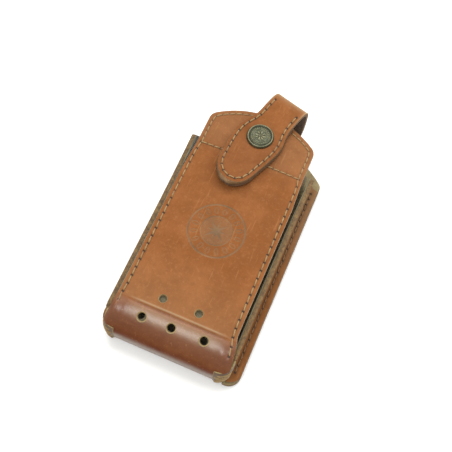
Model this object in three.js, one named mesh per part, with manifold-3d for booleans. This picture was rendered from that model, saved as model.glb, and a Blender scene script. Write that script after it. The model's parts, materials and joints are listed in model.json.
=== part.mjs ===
// Leather snap case lying on its back, in millimetres.
// +X is to the right, +Y runs from the toe to the closure strap, +Z is up out of the front.
// The origin is in the middle of the belt loop's outer face, which is what the case rests on.

import * as THREE from 'three';
import { mergeVertices } from 'three/addons/utils/BufferGeometryUtils.js';
import Module from 'manifold-3d';

const wasm = await Module();
wasm.setup();

// ---- driving dimensions ----------------------------------------------------------------

// Thicknesses and clearances
const LEATHER = 2.2;
const LAPPED_LEATHER = 1.9; // strap and toe, thinned where they lap the back
const LINING = 0.6;
const THREAD = 0.6;
const THREAD_RISE = 0.25;
const CUT_GAP = 0.3;
const LAYER_GAP = 0.1;

// Levels above the rest plane
const BACK_Z = 2.2; // outer face of the back panel
const INSIDE_Z = BACK_Z + LEATHER;
const FRONT_Z = 25; // outer face of the front panel
const WALL_TOP_Z = 19.9;

// Front panel
const FRONT_HALF = 32.4;
const FRONT_SHOULDER_HALF = 31.4;
const FRONT_TOP = { centreY: 35.3, radius: 45, corner: 5.5 };
const TAPER_START_Y = 40;
const CREASE_Y = -49;
const FRONT_SEAM_INSET = 2.3;
const PATCH_SEAM_Y = 49.4;
const PATCH_THICKNESS = 1.6;
const BLIND_HOLE = { x: 10, y: -42.9, radius: 2.1 };

// Back panel and gussets
const BACK_HALF = 41;
const BACK_TOP = { centreY: 17.5, radius: 60, corner: 4 };
const BACK_CORNER = 4.5;
const BACK_FOOT_Y = -59.9;
const FLANGE_END_Y = -66.4;
const FLANGE_TOP_Y = 58;
const WALL_OUTER = 36.4;
const WALL_INNER = 34.1;
const WALL_TOP_Y = 53.9;
const WALL_TOE_Y = -62.6;
const FLANGE_SEAM_X = 37.05;

// Toe: a rolled shoulder, an end wall and a foot that laps under the back panel
const TOE_HALF = 35;
const TOE_FLARE_Y = -60;
const TOE_OUTER_Y = -65.2;
const ROLL_CENTRE_Z = 9;
const FOOT_RADIUS = 5;
const TAIL_END_Y = -49;
const TAIL_SEAM_Y = -52;
const VENT_HOLE = { pitch: 17.3, y: -55, radius: 2.3 };
const CORNER_STITCH = { width: 6, top: 18.5, bottom: 2.5, rise: 0.5 };

// Closure strap, in its own frame: x across, y along towards the arch, origin under the snap
const STRAP_POSITION = new THREE.Vector3(0.35, 63.3, 0);
const STRAP_TURN = THREE.MathUtils.degToRad(-15.5);
const STRAP_HALF = 10.4;
const TONGUE_Z = 28.6; // middle of the outer layer over the tongue
const TONGUE_BULGE = 13.7;
const TONGUE_TIP_Y = -34.5;
const UNDER_LAYER = 1.8;
const UNDER_END_Y = 16.5;
const STRAP_SEAM_INSET = 2.2;
const STRAP_SEAM_END_Y = 21;
const ARCH = { y: 25, z: 27, radius: 4.3, split: THREE.MathUtils.degToRad(45) };
const STRAP_TAIL_Y = -14;

// Snap fastener
const CAP = { radius: 7.5, height: 2.7 };
const SOCKET = { outer: 4.9, inner: 2.9, bottom: 25.9 };
const STUD = { flange: 4.4, knob: 2.2, top: 26.6 };
const SNAP_POST = 1.6;
const SNAP_HOLE = 1.9;

// Belt loop on the back
const LOOP = { half: 13, end: 33, sewn: 24, level: 17, thickness: 1.6 };

// ---- materials -------------------------------------------------------------------------

function leather(color, roughness) {
  return new THREE.MeshStandardMaterial({ color, roughness, metalness: 0 });
}

const TAN = leather(0xa9653f, 0.45);
const DARK_TAN = leather(0x8a4f30, 0.4);
const SUEDE = leather(0x5f5a44, 0.95);
const COTTON = leather(0xb79a63, 0.85);
const BRASS = new THREE.MeshStandardMaterial({ color: 0x6b6a4c, roughness: 0.4, metalness: 0.9 });

// ---- shape helpers ---------------------------------------------------------------------

// Moves every point of an open line sideways, to its left for a positive distance.
function offset(points, distance) {
  return points.map((point, i) => {
    const before = points[Math.max(i - 1, 0)];
    const after = points[Math.min(i + 1, points.length - 1)];
    const along = after.clone().sub(before).normalize();
    return new THREE.Vector2(point.x - along.y * distance, point.y + along.x * distance);
  });
}

// The closed area between two sideways offsets of one open line.
function strip(points, from, to) {
  return new THREE.Shape([...offset(points, from), ...offset(points, to).reverse()]);
}

function alongZ(shape, bottom, top) {
  const options = { depth: top - bottom, bevelEnabled: false, curveSegments: 10 };
  return new THREE.ExtrudeGeometry(shape, options).translate(0, 0, bottom);
}

// Extrudes a side profile, drawn as (y, z), from x = left to x = right.
function alongX(shape, left, right) {
  const options = { depth: right - left, bevelEnabled: false, curveSegments: 10 };
  const turn = new THREE.Matrix4().makeBasis(
    new THREE.Vector3(0, 1, 0),
    new THREE.Vector3(0, 0, 1),
    new THREE.Vector3(1, 0, 0),
  );
  return new THREE.ExtrudeGeometry(shape, options).applyMatrix4(turn).translate(left, 0, 0);
}

function rectangle(left, right, bottom, top) {
  return new THREE.Shape([
    new THREE.Vector2(left, bottom),
    new THREE.Vector2(right, bottom),
    new THREE.Vector2(right, top),
    new THREE.Vector2(left, top),
  ]);
}

// A turned piece standing on +Z from (radius, height) pairs that start and end on the axis.
function turned(profile, segments = 40) {
  const points = profile.map(([radius, height]) => new THREE.Vector2(radius, height));
  return new THREE.LatheGeometry(points, segments).rotateX(Math.PI / 2);
}

function peg(radius, x, y, bottom, top) {
  return new THREE.CylinderGeometry(radius, radius, top - bottom, 24)
    .rotateX(Math.PI / 2)
    .translate(x, y, (bottom + top) / 2);
}

function solid(geometry) {
  const bare = geometry.clone();
  bare.deleteAttribute('normal');
  bare.deleteAttribute('uv');
  const merged = mergeVertices(bare, 1e-4);
  return new wasm.Manifold(new wasm.Mesh({
    numProp: 3,
    vertProperties: new Float32Array(merged.attributes.position.array),
    triVerts: new Uint32Array(merged.index.array),
  }));
}

function geometryOf(manifold) {
  const { vertProperties, triVerts } = manifold.getMesh();
  const geometry = new THREE.BufferGeometry();
  geometry.setAttribute('position', new THREE.BufferAttribute(vertProperties, 3));
  geometry.setIndex(new THREE.BufferAttribute(triVerts, 1));
  return geometry;
}

function cut(body, ...tools) {
  return geometryOf(tools.reduce((rest, tool) => rest.subtract(solid(tool)), solid(body)));
}

function common(a, b) {
  return geometryOf(solid(a).intersect(solid(b)));
}

function mirrored(geometry) {
  return geometryOf(solid(geometry).mirror([1, 0, 0]));
}

function piece(name, geometry, material) {
  const mesh = new THREE.Mesh(geometry, material);
  mesh.name = name;
  return mesh;
}

// A left and a right copy of a piece modelled on the right.
function pair(name, geometry, material) {
  return [
    piece(`${name}_right`, geometry, material),
    piece(`${name}_left`, mirrored(geometry), material),
  ];
}

// ---- outlines --------------------------------------------------------------------------

// A path up the right side, round the gabled top and down the left side.
function gable(half, top, footY, inset = 0, sideHalf = half) {
  const corner = top.corner - inset;
  const radius = top.radius - inset;
  const cornerX = half - top.corner;
  const cornerY = top.centreY + Math.sqrt((radius - corner) ** 2 - cornerX ** 2);
  const lean = Math.atan2(cornerY - top.centreY, cornerX);
  const path = new THREE.Path();
  path.moveTo(sideHalf - inset, footY);
  if (sideHalf !== half) path.lineTo(sideHalf - inset, TAPER_START_Y);
  path.lineTo(half - inset, cornerY);
  path.absarc(cornerX, cornerY, corner, 0, lean, false);
  path.absarc(0, top.centreY, radius, lean, Math.PI - lean, false);
  path.absarc(-cornerX, cornerY, corner, Math.PI - lean, Math.PI, false);
  if (sideHalf !== half) path.lineTo(-sideHalf + inset, TAPER_START_Y);
  path.lineTo(-sideHalf + inset, footY);
  return path.getPoints(10);
}

function frontOutline(footY, inset = 0) {
  return gable(FRONT_SHOULDER_HALF, FRONT_TOP, footY, inset, FRONT_HALF);
}

// The toe leather's middle line, from the crease over the roll and down round the foot.
function toeLine(inwards = 0) {
  const half = LAPPED_LEATHER / 2 + inwards;
  const centreY = CREASE_Y - CUT_GAP / 2;
  const path = new THREE.Path();
  const rollY = centreY - TOE_OUTER_Y - half;
  const rollZ = FRONT_Z - ROLL_CENTRE_Z - half;
  path.absellipse(centreY, ROLL_CENTRE_Z, rollY, rollZ, Math.PI / 2, Math.PI, false);
  if (inwards > 0) {
    path.lineTo(TOE_OUTER_Y + half, INSIDE_Z + LINING + CUT_GAP);
    return path.getPoints(24);
  }
  const footZ = BACK_Z - LAPPED_LEATHER + FOOT_RADIUS;
  path.absarc(TOE_OUTER_Y + FOOT_RADIUS, footZ, FOOT_RADIUS - half, Math.PI, 1.5 * Math.PI, false);
  path.lineTo(TAIL_END_Y, BACK_Z - half);
  return path.getPoints(24);
}

// The toe seen from above: it flares from the crease to the corners of the end wall.
function toePlan(half) {
  const flare = half - TOE_HALF;
  const creaseHalf = FRONT_HALF + flare;
  return new THREE.Shape([
    new THREE.Vector2(-creaseHalf, CREASE_Y + 1),
    new THREE.Vector2(-half, TOE_FLARE_Y),
    new THREE.Vector2(-half, TOE_OUTER_Y - 1),
    new THREE.Vector2(half, TOE_OUTER_Y - 1),
    new THREE.Vector2(half, TOE_FLARE_Y),
    new THREE.Vector2(creaseHalf, CREASE_Y + 1),
  ]);
}

// The strap's middle line as (y, z), from the tongue's tip up over the arch to the hinge line.
function strapFrontLine() {
  const path = new THREE.Path();
  path.moveTo(TONGUE_TIP_Y - 1, TONGUE_Z);
  path.lineTo(6, TONGUE_Z);
  path.bezierCurveTo(13, TONGUE_Z, 18, ARCH.z + ARCH.radius, ARCH.y, ARCH.z + ARCH.radius);
  path.absarc(ARCH.y, ARCH.z, ARCH.radius, Math.PI / 2, ARCH.split, true);
  return path.getPoints(12);
}

// The strap's middle line from the hinge line down behind the case to the sewn tail.
function strapBackLine() {
  const crown = ARCH.y + ARCH.radius;
  const tailZ = BACK_Z - LAPPED_LEATHER / 2;
  const path = new THREE.Path();
  path.absarc(ARCH.y, ARCH.z, ARCH.radius, ARCH.split - CUT_GAP / ARCH.radius, 0, true);
  path.bezierCurveTo(crown, 12, crown - 2.5, tailZ, crown - 13.5, tailZ);
  path.lineTo(STRAP_TAIL_Y, tailZ);
  return path.getPoints(16);
}

// The tongue's edge from the arch, down the right side, round the tip and back up.
function tongueEdge(endY) {
  const right = new THREE.Path();
  right.moveTo(STRAP_HALF, endY);
  right.lineTo(STRAP_HALF, 15);
  right.bezierCurveTo(STRAP_HALF, 8, TONGUE_BULGE, 5, TONGUE_BULGE, -2);
  right.bezierCurveTo(TONGUE_BULGE, -9, 11.6, -16, 10.8, -21.5);
  right.bezierCurveTo(9.9, -29.5, 5.5, TONGUE_TIP_Y, 0, TONGUE_TIP_Y);
  const points = right.getPoints(10);
  const left = points.slice(0, -1).reverse().map((p) => new THREE.Vector2(-p.x, p.y));
  return [...points, ...left];
}

// ---- the shell: everything that stays still --------------------------------------------

function backPanel() {
  const points = gable(BACK_HALF, BACK_TOP, FLANGE_END_Y + BACK_CORNER);
  const shape = new THREE.Shape(points);
  const notch = TOE_HALF + 2 * CUT_GAP;
  const cornerX = BACK_HALF - BACK_CORNER;
  const cornerY = FLANGE_END_Y + BACK_CORNER;
  shape.absarc(-cornerX, cornerY, BACK_CORNER, Math.PI, 1.5 * Math.PI, false);
  shape.lineTo(-notch, FLANGE_END_Y);
  shape.lineTo(-notch, BACK_FOOT_Y);
  shape.lineTo(notch, BACK_FOOT_Y);
  shape.lineTo(notch, FLANGE_END_Y);
  shape.absarc(cornerX, cornerY, BACK_CORNER, 1.5 * Math.PI, 2 * Math.PI, false);
  return piece('back_panel', alongZ(shape, BACK_Z, INSIDE_Z), DARK_TAN);
}

function backLining() {
  const half = WALL_INNER - LINING - CUT_GAP;
  const shape = rectangle(-half, half, BACK_FOOT_Y, FLANGE_TOP_Y - 2);
  return piece('back_lining', alongZ(shape, INSIDE_Z, INSIDE_Z + LINING), SUEDE);
}

// A gusset wall in side view, stopping clear of the toe roll's inner face.
function wallProfile(top, clearance) {
  const path = new THREE.Shape();
  const rollY = CREASE_Y - WALL_TOE_Y - clearance;
  const rollZ = FRONT_Z - ROLL_CENTRE_Z - LAPPED_LEATHER - LINING - CUT_GAP - clearance;
  const start = Math.PI - Math.asin((top - ROLL_CENTRE_Z) / rollZ);
  path.moveTo(CREASE_Y - rollY, INSIDE_Z);
  path.lineTo(FLANGE_TOP_Y - 1, INSIDE_Z);
  path.lineTo(WALL_TOP_Y, top);
  path.absellipse(CREASE_Y, ROLL_CENTRE_Z, rollY, rollZ, start, Math.PI, false);
  return path;
}

function flangePlan() {
  const shape = new THREE.Shape();
  const cornerX = BACK_HALF - BACK_CORNER;
  shape.moveTo(WALL_INNER, WALL_TOE_Y);
  shape.lineTo(TOE_HALF + 2 * CUT_GAP, WALL_TOE_Y);
  shape.lineTo(TOE_HALF + 2 * CUT_GAP, FLANGE_END_Y);
  shape.absarc(cornerX, FLANGE_END_Y + BACK_CORNER, BACK_CORNER, 1.5 * Math.PI, 2 * Math.PI, false);
  shape.absarc(BACK_HALF - 3, FLANGE_TOP_Y - 3, 3, 0, Math.PI / 2, false);
  shape.lineTo(WALL_INNER, FLANGE_TOP_Y);
  return shape;
}

function gussets() {
  const wall = solid(alongX(wallProfile(WALL_TOP_Z, 0), WALL_INNER, WALL_OUTER));
  const flange = solid(alongZ(flangePlan(), INSIDE_Z, INSIDE_Z + LEATHER));
  return pair('gusset', geometryOf(wall.add(flange)), TAN);
}

function gussetLinings() {
  const profile = wallProfile(WALL_TOP_Z - 0.8, 0.8);
  return pair('gusset_lining', alongX(profile, WALL_INNER - LINING, WALL_INNER), SUEDE);
}

// Pegs square to the roll, one for each vent hole.
function ventHoles() {
  const rollY = CREASE_Y - TOE_OUTER_Y;
  const rollZ = FRONT_Z - ROLL_CENTRE_Z;
  const across = (VENT_HOLE.y - CREASE_Y) / rollY;
  const height = ROLL_CENTRE_Z + rollZ * Math.sqrt(1 - across ** 2);
  const lean = Math.atan2(-across / rollY, Math.sqrt(1 - across ** 2) / rollZ);
  return [-1, 0, 1].map((side) => new THREE.CylinderGeometry(VENT_HOLE.radius, VENT_HOLE.radius, 8, 24)
    .rotateX(Math.PI / 2 + lean)
    .translate(side * VENT_HOLE.pitch, VENT_HOLE.y, height));
}

function toe() {
  const profile = strip(toeLine(), -LAPPED_LEATHER / 2, LAPPED_LEATHER / 2);
  const body = common(alongX(profile, -TOE_HALF, TOE_HALF), alongZ(toePlan(TOE_HALF), -1, FRONT_Z + 1));
  return piece('toe', cut(body, ...ventHoles()), TAN);
}

function toeLining() {
  const inwards = (LAPPED_LEATHER + LINING) / 2 + LAYER_GAP;
  const half = WALL_INNER - LINING - CUT_GAP;
  const profile = strip(toeLine(inwards), -LINING / 2, LINING / 2);
  const plan = alongZ(toePlan(half), 0, FRONT_Z);
  return piece('toe_lining', cut(common(alongX(profile, -half, half), plan), ...ventHoles()), SUEDE);
}

// The whip stitching that wraps each corner of the end wall, as one plain band.
function cornerStitching() {
  const line = toeLine();
  const outside = -LAPPED_LEATHER / 2 - LAYER_GAP;
  const band = alongX(strip(line, outside, outside - CORNER_STITCH.rise), TOE_HALF - CORNER_STITCH.width, TOE_HALF);
  const window = rectangle(TOE_HALF - CORNER_STITCH.width - 1, TOE_HALF + 1, TOE_OUTER_Y - 2, TOE_FLARE_Y);
  return pair('corner_stitching', common(band, alongZ(window, CORNER_STITCH.bottom, CORNER_STITCH.top)), COTTON);
}

function flangeSeams() {
  const shape = rectangle(
    FLANGE_SEAM_X - THREAD / 2, FLANGE_SEAM_X + THREAD / 2, FLANGE_END_Y + 4, FLANGE_TOP_Y - 3,
  );
  const top = INSIDE_Z + LEATHER;
  return pair('flange_seam', alongZ(shape, top, top + THREAD_RISE), COTTON);
}

// The last stitches of each side seam, which run over the crease onto the roll.
function toeSideSeams() {
  const x = FRONT_HALF - FRONT_SEAM_INSET;
  const outside = -LAPPED_LEATHER / 2 - LAYER_GAP;
  const band = alongX(strip(toeLine(), outside, outside - THREAD_RISE), x - THREAD / 2, x + THREAD / 2);
  const window = rectangle(x - 2, x + 2, CREASE_Y - 9, CREASE_Y);
  return pair('toe_side_seam', common(band, alongZ(window, FRONT_Z / 2, FRONT_Z + 2)), COTTON);
}

function tailSeam() {
  const under = BACK_Z - LAPPED_LEATHER;
  const shape = rectangle(-TOE_HALF + 4, TOE_HALF - 4, TAIL_SEAM_Y - THREAD / 2, TAIL_SEAM_Y + THREAD / 2);
  return piece('toe_tail_seam', alongZ(shape, under - THREAD_RISE, under), COTTON);
}

function beltLoop() {
  const sewnZ = BACK_Z - LOOP.thickness / 2;
  const restZ = LOOP.thickness / 2;
  const line = [
    [-LOOP.end, sewnZ], [-LOOP.sewn, sewnZ], [-LOOP.level, restZ],
    [LOOP.level, restZ], [LOOP.sewn, sewnZ], [LOOP.end, sewnZ],
  ].map(([y, z]) => new THREE.Vector2(y, z));
  const profile = strip(line, -LOOP.thickness / 2, LOOP.thickness / 2);
  return piece('belt_loop', alongX(profile, -LOOP.half, LOOP.half), DARK_TAN);
}

function beltLoopSeams() {
  const under = BACK_Z - LOOP.thickness;
  return [['upper', 1], ['lower', -1]].map(([name, side]) => {
    const y = side * (LOOP.end + LOOP.sewn) / 2;
    const frame = rectangle(-LOOP.half + 2, LOOP.half - 2, y - 3, y + 3);
    frame.holes.push(rectangle(-LOOP.half + 2 + THREAD, LOOP.half - 2 - THREAD, y - 3 + THREAD, y + 3 - THREAD));
    return piece(`belt_loop_seam_${name}`, alongZ(frame, under - THREAD_RISE, under), COTTON);
  });
}

const shell = new THREE.Group();
shell.add(
  backPanel(), backLining(), ...gussets(), ...gussetLinings(), toe(), toeLining(),
  ...cornerStitching(), ...flangeSeams(), ...toeSideSeams(), tailSeam(), beltLoop(), ...beltLoopSeams(),
);

// ---- the sewn end of the closure strap, also still ---------------------------------------

function strapRiser() {
  const profile = strip(strapBackLine(), -LAPPED_LEATHER / 2, LAPPED_LEATHER / 2);
  return piece('strap_riser', alongX(profile, -STRAP_HALF, STRAP_HALF), TAN);
}

function strapTailSeam() {
  const under = BACK_Z - LAPPED_LEATHER;
  const half = STRAP_HALF - STRAP_SEAM_INSET;
  const low = STRAP_TAIL_Y + STRAP_SEAM_INSET;
  const high = 10;
  const frame = rectangle(-half, half, low, high);
  frame.holes.push(rectangle(-half + THREAD, half - THREAD, low + THREAD, high - THREAD));
  return piece('strap_tail_seam', alongZ(frame, under - THREAD_RISE, under), COTTON);
}

const strapBack = new THREE.Group();
strapBack.add(strapRiser(), strapTailSeam());

// ---- the front flap, which folds down about the crease ------------------------------------

function frontPanel() {
  const shape = new THREE.Shape(frontOutline(CREASE_Y + CUT_GAP / 2));
  const holes = [-1, 1].map((side) => peg(
    BLIND_HOLE.radius, side * BLIND_HOLE.x, BLIND_HOLE.y, FRONT_Z - LEATHER - 1, FRONT_Z + 1,
  ));
  const snapHole = peg(SNAP_HOLE, STRAP_POSITION.x, STRAP_POSITION.y, FRONT_Z - LEATHER - 1, FRONT_Z + 1);
  return piece('front_panel', cut(alongZ(shape, FRONT_Z - LEATHER, FRONT_Z), ...holes, snapHole), TAN);
}

function frontLining() {
  const half = FRONT_HALF - 1;
  const top = FRONT_Z - LEATHER;
  const shape = rectangle(-half, half, CREASE_Y + 2, PATCH_SEAM_Y - FRONT_SEAM_INSET - CUT_GAP);
  return piece('front_lining', alongZ(shape, top - LINING, top), SUEDE);
}

// A second leather layer inside the flap's top end, carrying the snap stud.
function frontPatch() {
  const top = FRONT_Z - LEATHER;
  const shape = new THREE.Shape(frontOutline(PATCH_SEAM_Y - FRONT_SEAM_INSET, 0.4).filter(
    (point) => point.y > PATCH_SEAM_Y - FRONT_SEAM_INSET - 0.01,
  ));
  const window = rectangle(-FRONT_HALF, FRONT_HALF, PATCH_SEAM_Y - FRONT_SEAM_INSET, BACK_TOP.radius * 2);
  const body = common(alongZ(shape, top - PATCH_THICKNESS, top), alongZ(window, 0, FRONT_Z));
  const snapHole = peg(SNAP_HOLE, STRAP_POSITION.x, STRAP_POSITION.y, top - PATCH_THICKNESS - 1, top + 1);
  return piece('front_patch', cut(body, snapHole), DARK_TAN);
}

function frontSeam() {
  const line = frontOutline(CREASE_Y + 2, FRONT_SEAM_INSET);
  return piece('front_seam', alongZ(strip(line, -THREAD / 2, THREAD / 2), FRONT_Z, FRONT_Z + THREAD_RISE), COTTON);
}

function patchSeam() {
  const half = FRONT_SHOULDER_HALF - FRONT_SEAM_INSET - 2 * THREAD;
  const shape = rectangle(-half, half, PATCH_SEAM_Y - THREAD / 2, PATCH_SEAM_Y + THREAD / 2);
  return piece('patch_seam', alongZ(shape, FRONT_Z, FRONT_Z + THREAD_RISE), COTTON);
}

function snapStud() {
  const post = SNAP_POST;
  const inside = FRONT_Z - LEATHER - PATCH_THICKNESS;
  const flangeTop = FRONT_Z + 0.5;
  const stud = turned([
    [0, inside], [post, inside], [post, FRONT_Z], [STUD.flange, FRONT_Z], [STUD.flange, flangeTop],
    [STUD.knob, flangeTop], [STUD.knob, STUD.top - 0.4], [STUD.knob - 0.4, STUD.top], [0, STUD.top],
  ]);
  const rivetTop = inside - 0.05;
  const rivet = turned([
    [0, rivetTop - 0.6], [STUD.flange - 0.3, rivetTop - 0.6], [STUD.flange, rivetTop - 0.3],
    [STUD.flange, rivetTop], [0, rivetTop],
  ]);
  return [piece('snap_stud', stud, BRASS), piece('snap_stud_rivet', rivet, BRASS)].map((mesh) => {
    mesh.position.set(STRAP_POSITION.x, STRAP_POSITION.y, 0);
    return mesh;
  });
}

const flap = new THREE.Group();
flap.add(frontPanel(), frontLining(), frontPatch(), frontSeam(), patchSeam(), ...snapStud());

// ---- the closure strap, which turns up about the shoulder of its arch ----------------------

const OUTER_TOP = TONGUE_Z + LEATHER / 2;
const OUTER_BOTTOM = TONGUE_Z - LEATHER / 2;
const UNDER_TOP = OUTER_BOTTOM - LAYER_GAP;

function strapOuter() {
  const profile = strip(strapFrontLine(), -LEATHER / 2, LEATHER / 2);
  const plan = new THREE.Shape(tongueEdge(ARCH.y + 2 * ARCH.radius));
  const body = common(alongX(profile, -TONGUE_BULGE, TONGUE_BULGE), alongZ(plan, 0, OUTER_TOP * 2));
  return piece('strap_outer', cut(body, peg(SNAP_HOLE, 0, 0, 0, OUTER_TOP + 1)), TAN);
}

function strapUnder() {
  const top = -LEATHER / 2 - LAYER_GAP;
  const profile = strip(strapFrontLine(), top - UNDER_LAYER, top);
  const plan = new THREE.Shape(tongueEdge(UNDER_END_Y));
  const body = common(alongX(profile, -TONGUE_BULGE, TONGUE_BULGE), alongZ(plan, 0, OUTER_TOP * 2));
  return piece('strap_under', cut(body, peg(SOCKET.outer + CUT_GAP, 0, 0, 0, OUTER_TOP)), DARK_TAN);
}

function strapSeam() {
  const bottom = LEATHER / 2 + LAYER_GAP;
  const profile = strip(strapFrontLine(), bottom, bottom + THREAD_RISE);
  const edge = tongueEdge(STRAP_SEAM_END_Y);
  const plan = strip(edge, -STRAP_SEAM_INSET - THREAD / 2, -STRAP_SEAM_INSET + THREAD / 2);
  const body = common(alongX(profile, -TONGUE_BULGE, TONGUE_BULGE), alongZ(plan, 0, OUTER_TOP * 2));
  return piece('strap_seam', body, COTTON);
}

function snapCap() {
  const base = OUTER_TOP + LAYER_GAP / 2;
  const top = base + CAP.height;
  return piece('snap_cap', turned([
    [0, UNDER_TOP + LAYER_GAP], [SNAP_POST, UNDER_TOP + LAYER_GAP], [SNAP_POST, base],
    [CAP.radius - 0.6, base], [CAP.radius, base + 0.7], [CAP.radius - 0.3, base + 1.4],
    [CAP.radius - 1.2, top - 0.8], [CAP.radius - 3.4, top - 0.2], [0, top],
  ], 48), BRASS);
}

function snapSocket() {
  return piece('snap_socket', turned([
    [0, UNDER_TOP - 0.45], [SOCKET.inner, UNDER_TOP - 0.45], [SOCKET.inner, SOCKET.bottom],
    [SOCKET.outer, SOCKET.bottom], [SOCKET.outer, UNDER_TOP], [0, UNDER_TOP],
  ]), BRASS);
}

const strap = new THREE.Group();
strap.add(strapOuter(), strapUnder(), strapSeam(), snapCap(), snapSocket());

for (const group of [strap, strapBack]) {
  group.position.copy(STRAP_POSITION);
  group.rotation.z = STRAP_TURN;
}

const leatherCase = new THREE.Group();
leatherCase.add(shell, strapBack, flap, strap);

export default leatherCase;
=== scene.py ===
"""A stitched tan leather snap case, lying on its back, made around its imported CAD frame.

Lengths are in millimetres until a mesh is made. +X is right, +Y runs towards the strap, +Z is up.
"""

import json
import math

import bmesh
import bpy
import numpy as np
from mathutils import Matrix, Vector


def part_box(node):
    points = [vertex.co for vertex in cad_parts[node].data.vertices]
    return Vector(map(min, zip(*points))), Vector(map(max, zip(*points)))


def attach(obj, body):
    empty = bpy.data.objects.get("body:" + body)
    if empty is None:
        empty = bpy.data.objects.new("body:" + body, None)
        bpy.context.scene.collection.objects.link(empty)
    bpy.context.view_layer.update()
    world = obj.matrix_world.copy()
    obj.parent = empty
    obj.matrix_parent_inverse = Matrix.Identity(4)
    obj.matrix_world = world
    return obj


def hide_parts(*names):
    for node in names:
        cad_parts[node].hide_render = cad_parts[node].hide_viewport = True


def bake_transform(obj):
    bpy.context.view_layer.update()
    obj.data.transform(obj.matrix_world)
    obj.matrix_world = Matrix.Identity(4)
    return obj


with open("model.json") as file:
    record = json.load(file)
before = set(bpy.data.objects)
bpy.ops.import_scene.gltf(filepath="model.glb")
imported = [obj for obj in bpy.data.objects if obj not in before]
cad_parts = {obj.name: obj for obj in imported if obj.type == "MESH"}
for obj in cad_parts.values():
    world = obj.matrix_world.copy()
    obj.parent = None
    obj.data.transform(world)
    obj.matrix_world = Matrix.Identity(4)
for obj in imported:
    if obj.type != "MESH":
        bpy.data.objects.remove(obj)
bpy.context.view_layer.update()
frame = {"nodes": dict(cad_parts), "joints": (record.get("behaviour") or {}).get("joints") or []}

MM = 0.001


def box_mm(node):
    """A CAD node's lowest and highest corners, in millimetres."""
    low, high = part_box(node)
    return np.array(low) / MM, np.array(high) / MM


# ---- measures taken from the frame ----

FRONT_LOW, FRONT_HIGH = box_mm("front_panel")
TOE_LOW, TOE_HIGH = box_mm("toe")
GUSSET_HIGH = box_mm("gusset_right")[1]
BACK_LOW, BACK_HIGH = box_mm("back_panel")
CAP_LOW, CAP_HIGH = box_mm("snap_cap")
SOCKET_LOW, SOCKET_HIGH = box_mm("snap_socket")
LOOP_LOW, LOOP_HIGH = box_mm("belt_loop")
FLANGE_SEAM_HIGH = box_mm("flange_seam_right")[1]
PATCH_SEAM_LOW, PATCH_SEAM_HIGH = box_mm("patch_seam")
STRAP_JOINT = next(j for j in frame["joints"] if j["name"] == "strap_bend")

LEATHER = FRONT_HIGH[2] - FRONT_LOW[2]
FRONT_Z = FRONT_HIGH[2]
FRONT_HALF = FRONT_HIGH[0]
CREASE_Y = FRONT_LOW[1] - 0.15
FRONT_TOP_Y = FRONT_HIGH[1]
PATCH_SEAM_Y = (PATCH_SEAM_LOW[1] + PATCH_SEAM_HIGH[1]) / 2
INSIDE_Z = BACK_HIGH[2]

# ---- measures of the leather work ----

SHOULDER_HALF = 31.4
TAPER_START_Y = 40
TAPER_LENGTH = 20
FLARE_RUN_OUT = 5
FRONT_GABLE = {"half": SHOULDER_HALF, "centre_y": 31.3, "radius": 49, "corner": 5.8}
BACK_GABLE = {"half": BACK_HIGH[0], "centre_y": 17.5, "radius": 60, "corner": 4}
SEAM_INSET = 2.3
FRONT_PITCH = 4.84
TOP_PITCH = 3.9
STRAP_PITCH = 4.05
FLANGE_PITCH = 3.75
THREAD_RADIUS = 0.37
MARK_CENTRE = np.array([0.0, 2.8])
MARK_RADIUS = 15.4
BLIND_HOLES = [(-10.0, -42.9), (10.0, -42.9)]
BLIND_RADIUS = 2.25
VENTS = [(-16.7, -55.7), (0.0, -55.2), (17.9, -54.7)]
VENT_RADIUS = 2.45
TOE_THICKNESS = 1.9
TOE_OUT_Y = TOE_LOW[1] - 1.3
ROLL_CENTRE_Z = 9.0
FOOT_RADIUS = 5.0
CORNER_STITCH_ROWS = 6
CORNER_TOP_Z = 16.3
EAR_RISE = 2.2
CORNER_FOOT_Z = 2.4
WALL_THICKNESS = 2.2

# The two sides differ as the real case's do: the left flange is narrower and its corner is cut back.
SIDES = {
    "right": {"sign": 1, "wall": GUSSET_HIGH[0] - 4.6, "flange": GUSSET_HIGH[0], "foot": BACK_LOW[1],
              "corner": 6.5, "lean": 0.1, "splay": 0.6, "toe_stitches": 2,
             "flare": [0.9, 1.9, 2.8, 3.1, 3.0, 2.4, 2.0]},
    "left": {"sign": -1, "wall": GUSSET_HIGH[0] - 5.8, "flange": GUSSET_HIGH[0] - 2.2, "foot": BACK_LOW[1] + 3,
             "corner": 7.0, "lean": 1.1, "splay": 0.8, "toe_stitches": 1,
             "flare": [0.2, 0.6, 1.3, 2.0, 2.2, 1.9, 1.7]},
}

STRAP_TURN = math.atan2(STRAP_JOINT["axis"][1], -STRAP_JOINT["axis"][0])
STRAP_ORIGIN = (CAP_LOW + CAP_HIGH) / 2
STRAP_ACROSS = np.array([math.cos(STRAP_TURN), -math.sin(STRAP_TURN), 0.0])
STRAP_ALONG = np.array([math.sin(STRAP_TURN), math.cos(STRAP_TURN), 0.0])
STRAP_BOW = 0.0015
STRAP_HALF = 10.4
STRAP_THICKNESS = 2.1
STRAP_TAIL_Y = -14.0
TONGUE_Z = 28.6
TONGUE_TIP_Y = -33.0
TONGUE_LIFT = 1.1
TONGUE_LIFT_Y = -8.0
UNDER_END_Y = 16.5
ARCH = {"y": 25.0, "z": 27.0, "radius": 4.3}

# ---- camera ----

CAMERA_TARGET = np.array([0.14, 18.0, 0.0])
CAMERA_AZIMUTH = math.radians(17.78)
CAMERA_ELEVATION = math.radians(65.97)
CAMERA_ROLL = math.radians(5.69)
CAMERA_DISTANCE = 425.2
CAMERA_LENS = 59.41


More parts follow.
